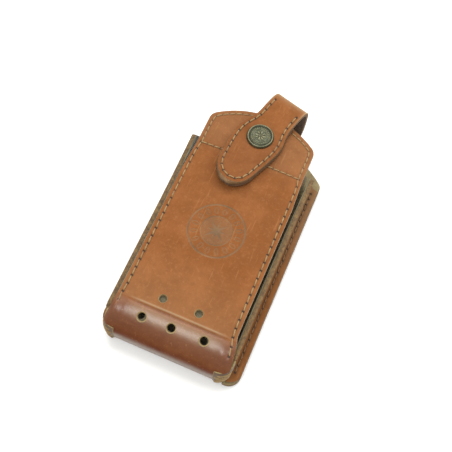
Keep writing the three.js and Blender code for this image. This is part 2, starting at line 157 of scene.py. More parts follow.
def make_camera():
    """A camera at the photograph's angle, aimed from the azimuth, elevation and roll above."""
    ca, sa = math.cos(CAMERA_AZIMUTH), math.sin(CAMERA_AZIMUTH)
    ce, se = math.cos(CAMERA_ELEVATION), math.sin(CAMERA_ELEVATION)
    forward = Vector((-sa * ce, ca * ce, -se))
    right = Vector((ca, sa, 0.0))
    up = right.cross(forward)
    cr, sr = math.cos(CAMERA_ROLL), math.sin(CAMERA_ROLL)
    right, up = cr * right + sr * up, cr * up - sr * right
    turn = Matrix((right, up, -forward)).transposed().to_4x4()
    data = bpy.data.cameras.new("camera")
    data.lens = CAMERA_LENS
    data.clip_start = 0.01
    camera = bpy.data.objects.new("camera", data)
    place = Vector(CAMERA_TARGET * MM) - forward * CAMERA_DISTANCE * MM
    camera.matrix_world = Matrix.Translation(place) @ turn
    bpy.context.collection.objects.link(camera)
    bpy.context.scene.camera = camera


make_camera()

# ---- node helpers ----


class Nodes:
    """Short calls for building one material's node tree."""

    def __init__(self, name):
        self.material = bpy.data.materials.new(name)
        self.material.use_nodes = True
        self.tree = self.material.node_tree
        self.shader = self.tree.nodes["Principled BSDF"]
        self.place = self.new("ShaderNodeTexCoord", "Object")

    def feed(self, node, inputs):
        """Links each input to a socket, or sets it to a number, a vector or an (r, g, b) colour."""
        for key, value in inputs.items():
            socket = node.inputs[key]
            if isinstance(value, bpy.types.NodeSocket):
                self.tree.links.new(value, socket)
            elif socket.type == "RGBA":
                socket.default_value = (*value, 1.0)
            else:
                socket.default_value = value

    def new(self, kind, output, inputs=None, **settings):
        """A new node's output socket; its inputs are given by name or number."""
        node = self.tree.nodes.new(kind)
        for key, value in settings.items():
            setattr(node, key, value)
        self.feed(node, inputs or {})
        return node.outputs[output]

    def stretched(self, x, y, z, degrees=0.0):
        """The object's coordinates, turned about Z and scaled."""
        turn = (0.0, 0.0, math.radians(degrees))
        return self.new("ShaderNodeMapping", 0, {"Vector": self.place, "Scale": (x, y, z), "Rotation": turn})

    def noise(self, size, detail=3.0, roughness=0.55, place=None):
        """Noise whose blotches are about size millimetres across."""
        inputs = {"Vector": place or self.place, "Scale": 1 / (size * MM), "Detail": detail,
                  "Roughness": roughness}
        return self.new("ShaderNodeTexNoise", "Fac", inputs)

    def cells(self, size):
        return self.new("ShaderNodeTexVoronoi", "Distance", {"Vector": self.place, "Scale": 1 / (size * MM)})

    def ramp(self, value, low, high, to_low=0.0, to_high=1.0):
        """Eases value from to_low, where it is low, to to_high, where it is high."""
        inputs = {"Value": value, "From Min": low, "From Max": high, "To Min": to_low, "To Max": to_high}
        return self.new("ShaderNodeMapRange", "Result", inputs, interpolation_type="SMOOTHSTEP")

    def product(self, a, b):
        return self.new("ShaderNodeMath", 0, {0: a, 1: b}, operation="MULTIPLY")

    def mix(self, factor, a, b):
        """Mixes two colours; either may be a socket or an (r, g, b) tuple."""
        return self.new("ShaderNodeMix", 2, {0: factor, 6: a, 7: b}, data_type="RGBA")

    def attribute(self, name):
        return self.new("ShaderNodeAttribute", "Fac", attribute_name=name)

    def bump(self, height, distance, strength=1.0, after=None):
        """A bump of distance millimetres, laid over an earlier one if given."""
        inputs = {"Height": height, "Distance": distance * MM, "Strength": strength}
        if after is not None:
            inputs["Normal"] = after
        return self.new("ShaderNodeBump", 0, inputs)

    def finish(self, colour, roughness, normal=None, others=None):
        """The finished material; others holds any more of the shader's inputs."""
        inputs = {"Base Color": colour, "Roughness": roughness, **(others or {})}
        if normal is not None:
            inputs["Normal"] = normal
        self.feed(self.shader, inputs)
        return self.material


# ---- materials ----

# Colours that the painted attributes mix in. The polished colour also stands for painted shade on the toe's end
# wall, the pale worn colour also for painted highlights and a painted floor reflection, and the dark pressed
# colour also for painted shade in the crease and grey within those painted highlights.
POLISHED_AND_SHADED_LEATHER = (0.094, 0.0155, 0.001)
WEAR_AND_PAINTED_LIGHT_COLOUR = (0.45, 0.36, 0.22)
PRESSED_AND_PAINTED_LIGHT_COLOUR = (0.050, 0.042, 0.028)
DEEPER = 0.84


def scratches(n, size, stretch, degrees, low, most):
    """Hairlines about size millimetres wide that run one way."""
    return n.ramp(n.noise(size, 2, 0.5, n.stretched(*stretch, degrees)), low, low + 0.06, 0.0, most)


def grain_leather(name, base, deep, pale, gloss=0.52):
    """Smooth tanned leather: mottled, with fine pores and hairline scratches.

    Four painted attributes change it: it is redder and darker where polished and where shade is painted on the
    toe's end wall, paler where worn and where highlights and a floor reflection are painted, dark where pressed
    and where shade is painted, and waxed where it has gloss.
    """
    n = Nodes(name)
    colour = n.mix(n.ramp(n.noise(17, 4), 0.32, 0.68), deep, base)
    cloud = n.ramp(n.noise(4.5, 5, 0.65), 0.42, 0.68, 0.0, 0.38)
    colour = n.mix(cloud, colour, tuple(DEEPER * c for c in deep))
    colour = n.mix(n.ramp(n.noise(1.6, 5, 0.7), 0.5, 0.73, 0.0, 0.42), colour, pale)
    scratch = scratches(n, 1.1, (1.0, 0.07, 1.0), 24, 0.65, 0.42)
    cross = scratches(n, 1.3, (0.08, 1.0, 1.0), -16, 0.66, 0.3)
    # Polish darkens and reddens the leather; on the toe's end wall it is also painted shade.
    polish_and_painted_shade = n.product(n.attribute("polish_and_painted_shade"), n.ramp(n.noise(9, 5, 0.65), 0.32, 0.68, 0.80, 0.99))
    colour = n.mix(polish_and_painted_shade, colour, POLISHED_AND_SHADED_LEATHER)
    colour = n.mix(scratch, colour, pale)
    colour = n.mix(cross, colour, deep)
    colour = n.mix(n.attribute("wear_and_painted_light"), colour, WEAR_AND_PAINTED_LIGHT_COLOUR)
    colour = n.mix(n.attribute("pressed_and_painted_light"), colour, PRESSED_AND_PAINTED_LIGHT_COLOUR)
    normal = n.bump(n.noise(9, 3), 0.5, 0.35)
    normal = n.bump(n.noise(0.9, 5, 0.65), 0.09, 0.5, normal)
    normal = n.bump(n.cells(0.55), 0.05, 0.35, normal)
    normal = n.bump(scratch, 0.06, 0.5, normal)
    rough = n.ramp(n.noise(6, 4), 0.3, 0.7, gloss - 0.07, gloss + 0.1)
    return n.finish(colour, rough, normal, {
        "Coat Weight": n.attribute("gloss"), "Coat Normal": normal, "Coat Roughness": 0.3,
        "Specular IOR Level": 0.05,
    })


def flesh_leather(name, base, deep):
    """The suede-like inner side of leather: matt, with short loose fibres."""
    n = Nodes(name)
    fibres = n.noise(0.5, 6, 0.75, n.stretched(1.0, 0.35, 1.0, 35))
    colour = n.mix(n.ramp(n.noise(7, 4), 0.3, 0.7), deep, base)
    colour = n.mix(n.ramp(fibres, 0.35, 0.7, 0.0, 0.5), colour, tuple(c * 1.35 for c in base))
    colour = n.mix(n.attribute("pressed_and_painted_light"), colour, tuple(c * 0.4 for c in deep))
    return n.finish(colour, 0.92, n.bump(fibres, 0.22, 0.8), {"Specular IOR Level": 0.2, "Sheen Weight": 0.25})


def raw_edge(name, base, deep):
    """A cut leather edge: khaki fibres lying in layers."""
    n = Nodes(name)
    layers = n.noise(0.6, 5, 0.7, n.stretched(0.35, 0.35, 2.2))
    colour = n.mix(n.ramp(layers, 0.32, 0.68), deep, base)
    colour = n.mix(n.ramp(n.noise(5, 3), 0.45, 0.75, 0.0, 0.6), colour, deep)
    return n.finish(colour, 0.75, n.bump(layers, 0.2, 0.7))


def lining_suede():
    """Grey-olive suede, soiled in patches."""
    n = Nodes("lining_suede")
    nap = n.noise(0.45, 5, 0.7)
    colour = n.mix(n.ramp(nap, 0.35, 0.7), (0.085, 0.072, 0.042), (0.19, 0.165, 0.10))
    colour = n.mix(n.ramp(n.noise(12, 3), 0.4, 0.7, 0.0, 0.5), colour, (0.24, 0.205, 0.12))
    return n.finish(colour, 0.95, n.bump(nap, 0.15, 0.8), {"Sheen Weight": 0.3})


def waxed_thread(name, deep, pale, soiled):
    n = Nodes(name)
    plies = n.noise(0.28, 3, 0.6, n.stretched(1.0, 1.0, 1.0, 45))
    colour = n.mix(n.ramp(plies, 0.35, 0.65), deep, pale)
    colour = n.mix(n.ramp(n.noise(14, 2), 0.45, 0.7, 0.0, 0.7), colour, soiled)
    return n.finish(colour, 0.7, n.bump(plies, 0.12, 0.8), {"Sheen Weight": 0.2})


# Near black inside the awl holes: painted shade.
def stitch_hole():
    n = Nodes("stitch_hole")
    colour = n.mix(n.noise(0.5), (0.035, 0.016, 0.008), (0.075, 0.036, 0.018))
    return n.finish(colour, 0.9, n.bump(n.noise(0.3), 0.1))


def antique_brass():
    """Brass gone olive in its hollows and bright where fingers rub it."""
    n = Nodes("antique_brass")
    patina = n.ramp(n.noise(1.8, 5, 0.65), 0.35, 0.7)
    colour = n.mix(patina, (0.085, 0.095, 0.060), (0.16, 0.145, 0.080))
    colour = n.mix(n.attribute("pressed_and_painted_light"), colour, (0.040, 0.042, 0.027))
    colour = n.mix(n.attribute("wear_and_painted_light"), colour, (0.24, 0.225, 0.14))
    rough = n.ramp(n.noise(0.9, 4), 0.3, 0.7, 0.26, 0.5)
    return n.finish(colour, rough, n.bump(n.noise(0.35, 4), 0.03, 0.6), {"Metallic": 0.85})


TAN = grain_leather("tan_leather", (0.246, 0.089, 0.027), (0.198, 0.068, 0.019), (0.32, 0.14, 0.052))
BROWN = grain_leather("brown_leather", (0.225, 0.090, 0.028), (0.158, 0.059, 0.018), (0.28, 0.13, 0.05), 0.56)
FLESH = flesh_leather("flesh_side", (0.29, 0.225, 0.110), (0.20, 0.150, 0.075))
DARK_FLESH = flesh_leather("dark_flesh_side", (0.120, 0.066, 0.032), (0.070, 0.038, 0.019))
RAW = raw_edge("raw_edge", (0.175, 0.092, 0.028), (0.095, 0.048, 0.015))
KHAKI_EDGE = raw_edge("khaki_edge", (0.34, 0.26, 0.11), (0.19, 0.135, 0.055))
WALL_EDGE = raw_edge("wall_edge", (0.20, 0.118, 0.036), (0.080, 0.040, 0.013))
STRAP_EDGE = raw_edge("strap_edge", (0.20, 0.105, 0.036), (0.10, 0.048, 0.015))
PALE_EDGE = raw_edge("pale_cut_edge", (0.38, 0.27, 0.16), (0.20, 0.11, 0.05))
PUNCHED = raw_edge("punched_edge", (0.34, 0.24, 0.105), (0.21, 0.14, 0.06))
BURNISHED = raw_edge("burnished_edge", (0.15, 0.075, 0.030), (0.075, 0.034, 0.014))
LINING = lining_suede()
THREAD = waxed_thread("waxed_thread", (0.20, 0.115, 0.040), (0.37, 0.24, 0.095), (0.21, 0.11, 0.038))
BROWN_THREAD = waxed_thread("brown_thread", (0.13, 0.062, 0.022), (0.27, 0.15, 0.060), (0.14, 0.06, 0.02))
HOLE = stitch_hole()
BRASS = antique_brass()

# ---- geometry helpers ----


def unit(vectors):
    """The vectors, each one long."""
    return vectors / np.maximum(np.linalg.norm(vectors, axis=-1, keepdims=True), 1e-9)


def bell(distance, width):
    """1 at distance 0, falling smoothly to 0 over a couple of widths."""
    return np.exp(-((distance / width) ** 2))


def steps(*stops):
    """Positions from the first stop on; each later stop is (position, spacing up to it)."""
    out = [float(stops[0])]
    for end, spacing in stops[1:]:
        count = max(1, round(abs(end - out[-1]) / spacing))
        out.extend(np.linspace(out[-1], end, count + 1)[1:])
    return np.array(out)


def mirrored_steps(right):
    """Positions either side of zero from a list that starts at zero."""
    return np.concatenate([-right[:0:-1], right])


def resample(line, distances):
    """Points at the given distances along a polyline."""
    lengths = np.linalg.norm(np.diff(line, axis=0), axis=1)
    run = np.concatenate([[0.0], np.cumsum(lengths)])
    return np.stack([np.interp(distances, run, line[:, k]) for k in range(line.shape[1])], axis=1)


def length_of(line):
    return float(np.linalg.norm(np.diff(line, axis=0), axis=1).sum())


def spaced(line, pitch):
    """Points evenly along a line, about pitch apart."""
    total = length_of(line)
    return resample(line, np.linspace(0, total, round(total / pitch) + 1))


def surface(x, y, z):
    """A grid of points from three arrays that broadcast together."""
    return np.stack(np.broadcast_arrays(x, y, z), axis=-1)


def facing(holes, z):
    """The normals of holes in a level face, looking up or down."""
    return np.tile([0.0, 0.0, float(z)], (len(holes), 1))


def rectangle(half, low, high):
    """A closed rectangle, from x = -half to half."""
    return np.array([[-half, low], [half, low], [half, high], [-half, high], [-half, low]])


def bezier(a, b, c, d, count=40):
    t = np.linspace(0, 1, count)[:, None]
    a, b, c, d = (np.array(p, float) for p in (a, b, c, d))
    return a * (1 - t) ** 3 + 3 * b * t * (1 - t) ** 2 + 3 * c * t * t * (1 - t) + d * t**3


def above(value, level, softness):
    """1 well above a level and 0 well below it."""
    return 1 / (1 + np.exp((level - value) / softness))


def below(value, level, softness):
    """1 well below a level and 0 well above it."""
    return above(-value, -level, softness)


def arc(centre, radius, start, end, count=30):
    angles = np.radians(np.linspace(start, end, count))
    return np.array(centre) + radius * np.stack([np.cos(angles), np.sin(angles)], axis=1)


def grid_normals(points):
    """Normals of a grid of points whose columns run right and rows run away."""
    return unit(np.cross(np.gradient(points, axis=1), np.gradient(points, axis=0)))


def nearest(points, targets):
    """Distance from each (x, y) point to the nearest target."""
    flat = points.reshape(-1, points.shape[-1])
    best = np.full(len(flat), np.inf)
    for target in targets:
        best = np.minimum(best, ((flat - target) ** 2).sum(axis=1))
    return np.sqrt(best).reshape(points.shape[:-1])


def mesh_object(name, vertices, faces, materials, indices=None, smooth=True, sharp=50):
    mesh = bpy.data.meshes.new(name)
    mesh.from_pydata((np.asarray(vertices) * MM).tolist(), [], [tuple(map(int, f)) for f in faces])
    for material in materials:
        mesh.materials.append(material)
    if indices is not None:
        mesh.polygons.foreach_set("material_index", np.asarray(indices, dtype=np.int32))
    if smooth:
        mesh.shade_smooth()
        mesh.set_sharp_from_angle(angle=math.radians(sharp))
    obj = bpy.data.objects.new(name, mesh)
    bpy.context.collection.objects.link(obj)
    return obj


def paint(obj, name, values):
    """Stores a per-vertex number that the materials read."""
    attribute = obj.data.attributes.new(name, "FLOAT", "POINT")
    attribute.data.foreach_set("value", np.asarray(values, dtype=np.float32).ravel())


def quads(grid, flip=False):
    """Faces between the neighbouring entries of a grid of vertex numbers; flip turns them over."""
    a, b, c, d = grid[:-1, :-1], grid[:-1, 1:], grid[1:, 1:], grid[1:, :-1]
    order = (d, c, b, a) if flip else (a, b, c, d)
    return np.stack([corner.ravel() for corner in order], axis=1)


def rim_loop(rows, cols):
    """Row and column numbers round a grid's edge, anticlockwise from above."""
    bottom = [(0, j) for j in range(cols)]
    right = [(i, cols - 1) for i in range(1, rows)]
    top = [(rows - 1, j) for j in range(cols - 2, -1, -1)]
    left = [(i, 0) for i in range(rows - 2, 0, -1)]
    return np.array(bottom + right + top + left)


# A sheet's rounded edge: how far down it each ring lies and how far the ring is pushed out, as shares.
RIM_PROFILE = [(0.10, 0.55), (0.28, 0.9), (0.5, 1.0), (0.72, 0.9), (0.90, 0.55)]


def sheet(name, top, thickness, materials, relief=None, bulge=0.3, paints=None):
    """A closed leather sheet under a grid of points, with rounded edges.

    materials are the grain side's, the flesh side's and the edge's. relief moves the grain side
    along its normals. paints maps attribute names to grids of values for the grain side.
    """
    rows, cols = top.shape[:2]
    normals = grid_normals(top)
    upper = top if relief is None else top + normals * relief[..., None]
    lower = top - normals * thickness
    count = rows * cols
    numbers = np.arange(count).reshape(rows, cols)
    loop = rim_loop(rows, cols)
    edge = loop[:, 0] * cols + loop[:, 1]
    upper_edge = upper.reshape(-1, 3)[edge]
    lower_edge = lower.reshape(-1, 3)[edge]
    tangent = unit(np.roll(upper_edge, -1, axis=0) - np.roll(upper_edge, 1, axis=0))
    outward = unit(np.cross(tangent, normals.reshape(-1, 3)[edge]))
    rings = [edge]
    vertices = [upper.reshape(-1, 3), lower.reshape(-1, 3)]
    for k, (depth, push) in enumerate(RIM_PROFILE):
        vertices.append(upper_edge * (1 - depth) + lower_edge * depth + outward * bulge * push)
        rings.append(2 * count + k * len(edge) + np.arange(len(edge)))
    rings.append(count + edge)
    faces = [quads(numbers), quads(numbers + count, flip=True)]
    indices = [np.zeros(len(faces[0])), np.ones(len(faces[1]))]
    for above, below in zip(rings, rings[1:]):
        band = np.stack([above, below, np.roll(below, -1), np.roll(above, -1)], axis=1)
        faces.append(band)
        indices.append(np.full(len(band), 2))
    everything = np.concatenate(vertices)
    obj = mesh_object(name, everything, np.concatenate(faces), materials, np.concatenate(indices))
    for key in ("pressed_and_painted_light", "wear_and_painted_light", "polish_and_painted_shade", "gloss"):
        values = np.zeros(len(everything))
        if paints and key in paints:
            values[:count] = np.broadcast_to(paints[key], (rows, cols)).ravel()
        paint(obj, key, values)
    return obj


def settle(obj, slot, body, *nodes):
    """Gives a piece its body and hides the CAD nodes that it stands for; slot is not used."""
    if nodes:
        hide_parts(*nodes)
    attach(obj, body)


PLY_DEPTH = 0.16
PLY_TWIST = 0.7
THREAD_END = 0.55


def sweep(path, normals, radius, start=0, sides=8):
    """Vertices and faces of a closed two-ply thread along a path; start is its first vertex's number."""
    path, normals = np.asarray(path), np.asarray(normals)
    tangents = unit(np.gradient(path, axis=0))
    across = unit(np.cross(tangents, normals))
    over = np.cross(across, tangents)
    count = len(path)
    angles = np.linspace(0, 2 * math.pi, sides, endpoint=False)
    taper = np.ones(count)
    taper[0] = taper[-1] = THREAD_END
    turns = PLY_TWIST * np.arange(count)[:, None]
    lobes = radius * taper[:, None] * (1 + PLY_DEPTH * np.cos(2 * (angles[None, :] - turns)))
    cosine, sine = np.cos(angles)[None, :, None], np.sin(angles)[None, :, None]
    ring = lobes[..., None] * (cosine * across[:, None, :] + sine * over[:, None, :])
    vertices = (path[:, None, :] + ring).reshape(-1, 3)
    faces = []
    for i in range(count - 1):
        for j in range(sides):
            k = (j + 1) % sides
            low, high = start + i * sides, start + (i + 1) * sides
            faces.append((low + j, high + j, high + k, low + k))
    ends = [np.array([path[0], path[-1]])]
    first, last = start + count * sides, start + count * sides + 1
    for j in range(sides):
        k = (j + 1) % sides
        faces.append((first, start + j, start + k))
        base = start + (count - 1) * sides
        faces.append((last, base + k, base + j))
    return np.concatenate([vertices, *ends]), faces


# One stitch from hole to hole: the share of its length and its height over the leather.
STITCH_HEIGHTS = [(0.11, -0.5), (0.15, -0.1), (0.23, 0.16), (0.37, 0.25), (0.5, 0.27), (0.63, 0.25),
                  (0.77, 0.16), (0.85, -0.1), (0.89, -0.5)]


STITCH_SLANT = 0.07


def thread_object(name, runs, radius=THREAD_RADIUS, material=None):
    """One object from many short threads, each given as (path, normals)."""
    vertices, faces, start = [], [], 0
    for path, normals in runs:
        more, more_faces = sweep(path, normals, radius, start)
        vertices.append(more)
        faces.extend(more_faces)
        start += len(more)
    obj = mesh_object(name, np.concatenate(vertices), faces, [material or THREAD], sharp=80)
    return obj


def running_stitches(name, holes, normals, radius=THREAD_RADIUS, material=None):
    """Stitches from each hole to the next, each dipping into its holes and lying a little aslant."""
    runs = []
    for i in range(len(holes) - 1):
        a, b = holes[i], holes[i + 1]
        up = unit(normals[i] + normals[i + 1])
        side = np.cross(up, unit(b - a)) * STITCH_SLANT * np.linalg.norm(b - a)
        wobble = 0.5 + 0.5 * math.sin(12.9 * i + 0.7)
        path = []
        for t, height in STITCH_HEIGHTS:
            lean = (t - 0.5) * side * (0.6 + 0.6 * wobble)
            path.append(a + (b - a) * t + lean + up * height * radius / THREAD_RADIUS)
        runs.append((path, np.tile(up, (len(path), 1))))
    return thread_object(name, runs, radius, material)


HOLE_RADIUS = 0.72
HOLE_SIDES = 12
HOLE_RINGS = [(1.0, -0.06), (0.7, -0.16), (0.35, -0.28)]
HOLE_BOTTOM = -0.36


def hole_marks(name, holes, normals, radius=HOLE_RADIUS):
    """Awl holes, each a small cup sunk in the leather, coloured near black as painted shade."""
    vertices, faces = [], []
    sides, rings = HOLE_SIDES, HOLE_RINGS
    for centre, up in zip(holes, normals):
        start = len(vertices)
        guide = np.array([1.0, 0.0, 0.0]) if abs(up[0]) < 0.8 else np.array([0.0, 1.0, 0.0])
        u = unit(np.cross(up, guide))
        v = np.cross(up, u)
        for share, height in rings:
            for k in range(sides):
                angle = 2 * math.pi * k / sides
                out = u * math.cos(angle) + v * math.sin(angle)
                vertices.append(centre + share * radius * out + up * height)
        vertices.append(centre + up * HOLE_BOTTOM)
        for r in range(len(rings) - 1):
            for k in range(sides):
                m = (k + 1) % sides
                a, b = start + r * sides, start + (r + 1) * sides
                faces.append((a + k, a + m, b + m, b + k))
        last = start + (len(rings) - 1) * sides
        for k in range(sides):
            faces.append((last + k, last + (k + 1) % sides, start + len(rings) * sides))
    obj = mesh_object(name, vertices, faces, [HOLE])
    return obj


def seam(name, node, body, holes, normals, radius=THREAD_RADIUS, hole_radius=HOLE_RADIUS, holes_name=None,
         material=None, first_hole=0):
    """A seam's stitches, which stand for a CAD node, and its awl holes from first_hole on."""
    stitches = running_stitches(name, holes, normals, radius, material)
    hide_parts(node)
    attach(stitches, body)
    marks = hole_marks(holes_name or f"{name}_holes", holes[first_hole:], normals[first_hole:], hole_radius)
    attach(marks, body)


def lathe(name, profile, material, segments=40):
    """A turned piece about +Z from (radius, height) pairs that start and end off the axis."""
    profile = np.array(profile, float)
    angles = np.linspace(0, 2 * math.pi, segments, endpoint=False)
    vertices = [(r * math.cos(a), r * math.sin(a), h) for r, h in profile for a in angles]
    numbers = np.arange(len(vertices)).reshape(len(profile), segments)
    numbers = np.concatenate([numbers, numbers[:1]], axis=0)
    numbers = np.concatenate([numbers, numbers[:, :1]], axis=1)
    return mesh_object(name, vertices, quads(numbers), [material])


def standing(place, normal):
    """The matrix that puts a piece at a place given in millimetres, its Z along normal."""
    turn = Vector(normal).to_track_quat("Z", "Y").to_matrix().to_4x4()
    return Matrix.Translation(Vector(np.array(place) * MM)) @ turn


def cut(obj, cutter):
    """Takes the cutter's space out of obj and removes the cutter."""
    modifier = obj.modifiers.new("cut", "BOOLEAN")
    modifier.operation = "DIFFERENCE"
    modifier.solver = "EXACT"
    modifier.object = cutter
    bpy.context.view_layer.objects.active = obj
    with bpy.context.temp_override(object=obj, active_object=obj):
        bpy.ops.object.modifier_apply(modifier=modifier.name)
    bpy.data.objects.remove(cutter, do_unlink=True)


def pegs(name, places, radius, reach):
    """One cutter object of cylinders, each standing along its normal through its place."""
    body = bmesh.new()
    for place, normal in places:
        bmesh.ops.create_cone(body, cap_ends=True, segments=36, radius1=radius * MM, radius2=radius * MM,
                              depth=2 * reach * MM, matrix=standing(place, normal))
    mesh = bpy.data.meshes.new(name)
    body.to_mesh(mesh)
    body.free()
    mesh.materials.append(RAW)
    obj = bpy.data.objects.new(name, mesh)
    bpy.context.collection.objects.link(obj)
    return obj


# ---- outlines ----


def gable_y(x, gable, inset=0.0):
    """Height of a gabled outline above y = 0 at each x: a wide arc between two round corners."""
    corner = gable["corner"] - inset
    radius = gable["radius"] - inset
    corner_x = gable["half"] - gable["corner"]
    corner_y = gable["centre_y"] + math.sqrt((radius - corner) ** 2 - corner_x**2)
    touch = corner_x * radius / (radius - corner)
    x = np.minimum(np.abs(x), gable["half"] - inset)
    arc_y = gable["centre_y"] + np.sqrt(np.maximum(radius**2 - x**2, 0))
    round_y = corner_y + np.sqrt(np.maximum(corner**2 - (x - corner_x) ** 2, 0))
    return np.where(x < touch, arc_y, round_y)


def gable_line(gable, inset, foot_y, count=200):
    """The right half of a gabled outline, from its foot up to the middle of its top."""
    half = gable["half"] - inset
    spread = half * np.sin(np.linspace(math.pi / 2, 0, count))
    top = np.stack([spread, gable_y(spread, gable, inset)], axis=1)
    return np.concatenate([[[half, foot_y]], top])


def front_half_at(y, sign=1):
    """Half the front panel's width at each y: narrower at the shoulders, flaring out just above the crease."""
    taper = (SHOULDER_HALF - FRONT_HALF) * np.clip((y - TAPER_START_Y) / TAPER_LENGTH, 0, 1)
    flare = side_of(sign)["flare"][0] * np.clip(1 - (y - CREASE_Y) / FLARE_RUN_OUT, 0, 1) ** 2
    return FRONT_HALF + taper + flare


def toe_profile(share):
    """The toe's outer line as (y, z), from the crease round to the tail. share is |x| over its half width.

    The roll is an ellipse in the middle and squarer towards the corners, where the leather is gathered.
    """
    power = 2.0 + 0.35 * share**6
    reach = CREASE_Y - TOE_OUT_Y
    rise = FRONT_Z - ROLL_CENTRE_Z
    angles = np.linspace(0, math.pi / 2, 60)
    roll = np.stack([
        CREASE_Y - reach * np.sin(angles) ** (2 / power),
        ROLL_CENTRE_Z + rise * np.cos(angles) ** (2 / power),
    ], axis=1)
    foot_y = TOE_OUT_Y + FOOT_RADIUS
    foot_z = TOE_LOW[2] + FOOT_RADIUS
    foot = arc((foot_y, foot_z), FOOT_RADIUS, 180, 270, 16)
    tail = [[TOE_HIGH[1], TOE_LOW[2]]]
    return np.concatenate([roll, foot, tail])


# Distances from the crease at which each side's flare is given.
FLARE_DISTANCES = [0, 4, 10, 15, 18, 22, 30]


def side_of(x):
    return SIDES["right" if x > 0 else "left"]


def toe_half_at(distance, sign=1):
    """Half the toe's width at each distance from the crease: out to the ears, then in to the foot."""
    return FRONT_HALF + np.interp(distance, FLARE_DISTANCES, side_of(sign)["flare"])


TOE_DROOP = 1.5
DROOP_START = 0.93
DROOP_RUN_IN = 9


def toe_droop(x_share, distance):
    """How far the toe's sides turn down towards the gussets."""
    across = np.clip((np.abs(x_share) - DROOP_START) / (1 - DROOP_START), 0, 1)
    return TOE_DROOP * across**1.5 * np.clip(distance / DROOP_RUN_IN, 0, 1)


def end_wall_y(z):
    """How far out the toe's end wall reaches at a height above its foot."""
    line = toe_profile(0.9)
    line = line[line[:, 1] > FOOT_RADIUS]
    return float(np.interp(z, line[::-1, 1], line[::-1, 0]))


CORNER_START_Y = -56.5
CORNER_BEND_X = 33.8
CORNER_END_X = 28.2
CORNER_TUCK = 1.2


def corner_plan(wall, z, count=17):
    """Plan curve round a toe corner at height z, from the gusset's wall to the end wall."""
    tuck = CORNER_TUCK * corner_fall(z) ** 2
    out = end_wall_y(max(z, FOOT_RADIUS + 0.1))
    return bezier((wall - 0.6 * tuck, CORNER_START_Y), (wall + 0.5 - tuck, out + 2.7),
                  (CORNER_BEND_X - tuck, out - 0.45), (CORNER_END_X, out - 0.3), count)


def corner_fall(z):
    """How far down its corner a height lies, from 0 at the ear to 1 at the foot."""
    return np.clip((CORNER_TOP_Z - z) / (CORNER_TOP_Z - CORNER_FOOT_Z), 0, 1)


CORNER_SHARE = 0.82
CORNER_FADE = 2.5
TAB_COVER = 0.8


def rounded_corner(points, shares):
    """Moves the toe's lower corners in, to lie just inside their tabs."""
    for i in range(points.shape[0]):
        for j in np.nonzero(np.abs(shares) > CORNER_SHARE)[0]:
            x, y, z = points[i, j]
            run = 1 - 0.6 * (abs(shares[j]) - CORNER_SHARE) / (1 - CORNER_SHARE)
            weight = np.clip((CORNER_TOP_Z + EAR_RISE * (1 - run) - z) / CORNER_FADE, 0, 1)
            if weight == 0:
                continue
            plan = corner_plan(side_of(x)["wall"], z)
            ranks = np.linspace(0, 1, len(plan))
            plan_x = np.interp(run, ranks, plan[:, 0]) - TAB_COVER
            plan_y = np.interp(run, ranks, plan[:, 1]) - plan[-1, 1]
            points[i, j, 0] = x + weight * (math.copysign(plan_x, x) - x)
            points[i, j, 1] = y + weight * (plan_y + 0.5 * (1 - run))


def toe_point(x_share, distance):
    """A point on the toe's outer face and its normal."""
    line = toe_profile(abs(x_share))
    y, z = resample(line, [distance])[0]
    ahead, behind = resample(line, [distance + 0.2, max(distance - 0.2, 0)])
    run = unit(ahead - behind)
    normal = np.array([0.0, run[1], -run[0]])
    place = np.array([x_share * toe_half_at(distance, x_share), y, z])
    return place - normal * toe_droop(x_share, distance), normal


# ---- the stitch lines of the front ----


def front_seam_holes():
    """Hole places round the front panel, from low on the right side over the top to the left."""
    top = spaced(gable_line(FRONT_GABLE, SEAM_INSET, PATCH_SEAM_Y), TOP_PITCH)
    side_y = np.arange(PATCH_SEAM_Y - FRONT_PITCH, CREASE_Y, -FRONT_PITCH)[::-1]
    side = np.stack([front_half_at(side_y) - SEAM_INSET, side_y], axis=1)
    right = np.concatenate([side, top])
    return np.concatenate([right, right[-2::-1] * [-1, 1]])


def patch_seam_holes():
    """Hole places along the patch's lower edge; the seam turns down a little at its ends."""
    half = front_half_at(PATCH_SEAM_Y) - SEAM_INSET
    x = np.linspace(half, -half, round(2 * half / TOP_PITCH) + 1)
    lift = 0.7 * np.cos(x / half * math.pi / 2)
    return np.stack([x, PATCH_SEAM_Y + lift], axis=1)


FRONT_HOLES = front_seam_holes()
PATCH_HOLES = patch_seam_holes()
TOE_HOLE_START = CREASE_Y - FRONT_HOLES[0][1]


def toe_seam_holes(side):
    """Places and normals of the side seam's last holes, which lie on the toe."""
    share = side["sign"] * (FRONT_HALF - SEAM_INSET) / FRONT_HALF
    distances = TOE_HOLE_START + FRONT_PITCH * np.arange(side["toe_stitches"] + 1)
    pairs = [toe_point(share, max(d, 0.0)) for d in distances]
    first = [[side["sign"] * FRONT_HOLES[0][0], FRONT_HOLES[0][1], FRONT_Z]]
    places = np.array(first + [p[0] for p in pairs[1:]])
    normals = np.array([[0, 0, 1.0]] + [p[1] for p in pairs[1:]])
    return places, normals


# ---- the embossed mark ----


def line_mask(distance, half_width, soft=0.16):
    """1 on a line of the given half width and 0 off it."""
    return 1 / (1 + np.exp(np.clip((np.abs(distance) - half_width) / (soft / 2), -50, 50)))


def star_mask(x, y, rays, length, half_width, turn=0.0):
    """Tapering rays from the centre."""
    angle = np.arctan2(y, x) - turn
    step = 2 * math.pi / rays
    off = np.abs((angle + step / 2) % step - step / 2)
    r = np.hypot(x, y)
    across = r * np.sin(off)
    along = r * np.cos(off)
    width = half_width * np.clip(1 - along / length, 0, 1)
    return line_mask(across, width) * (along < length)


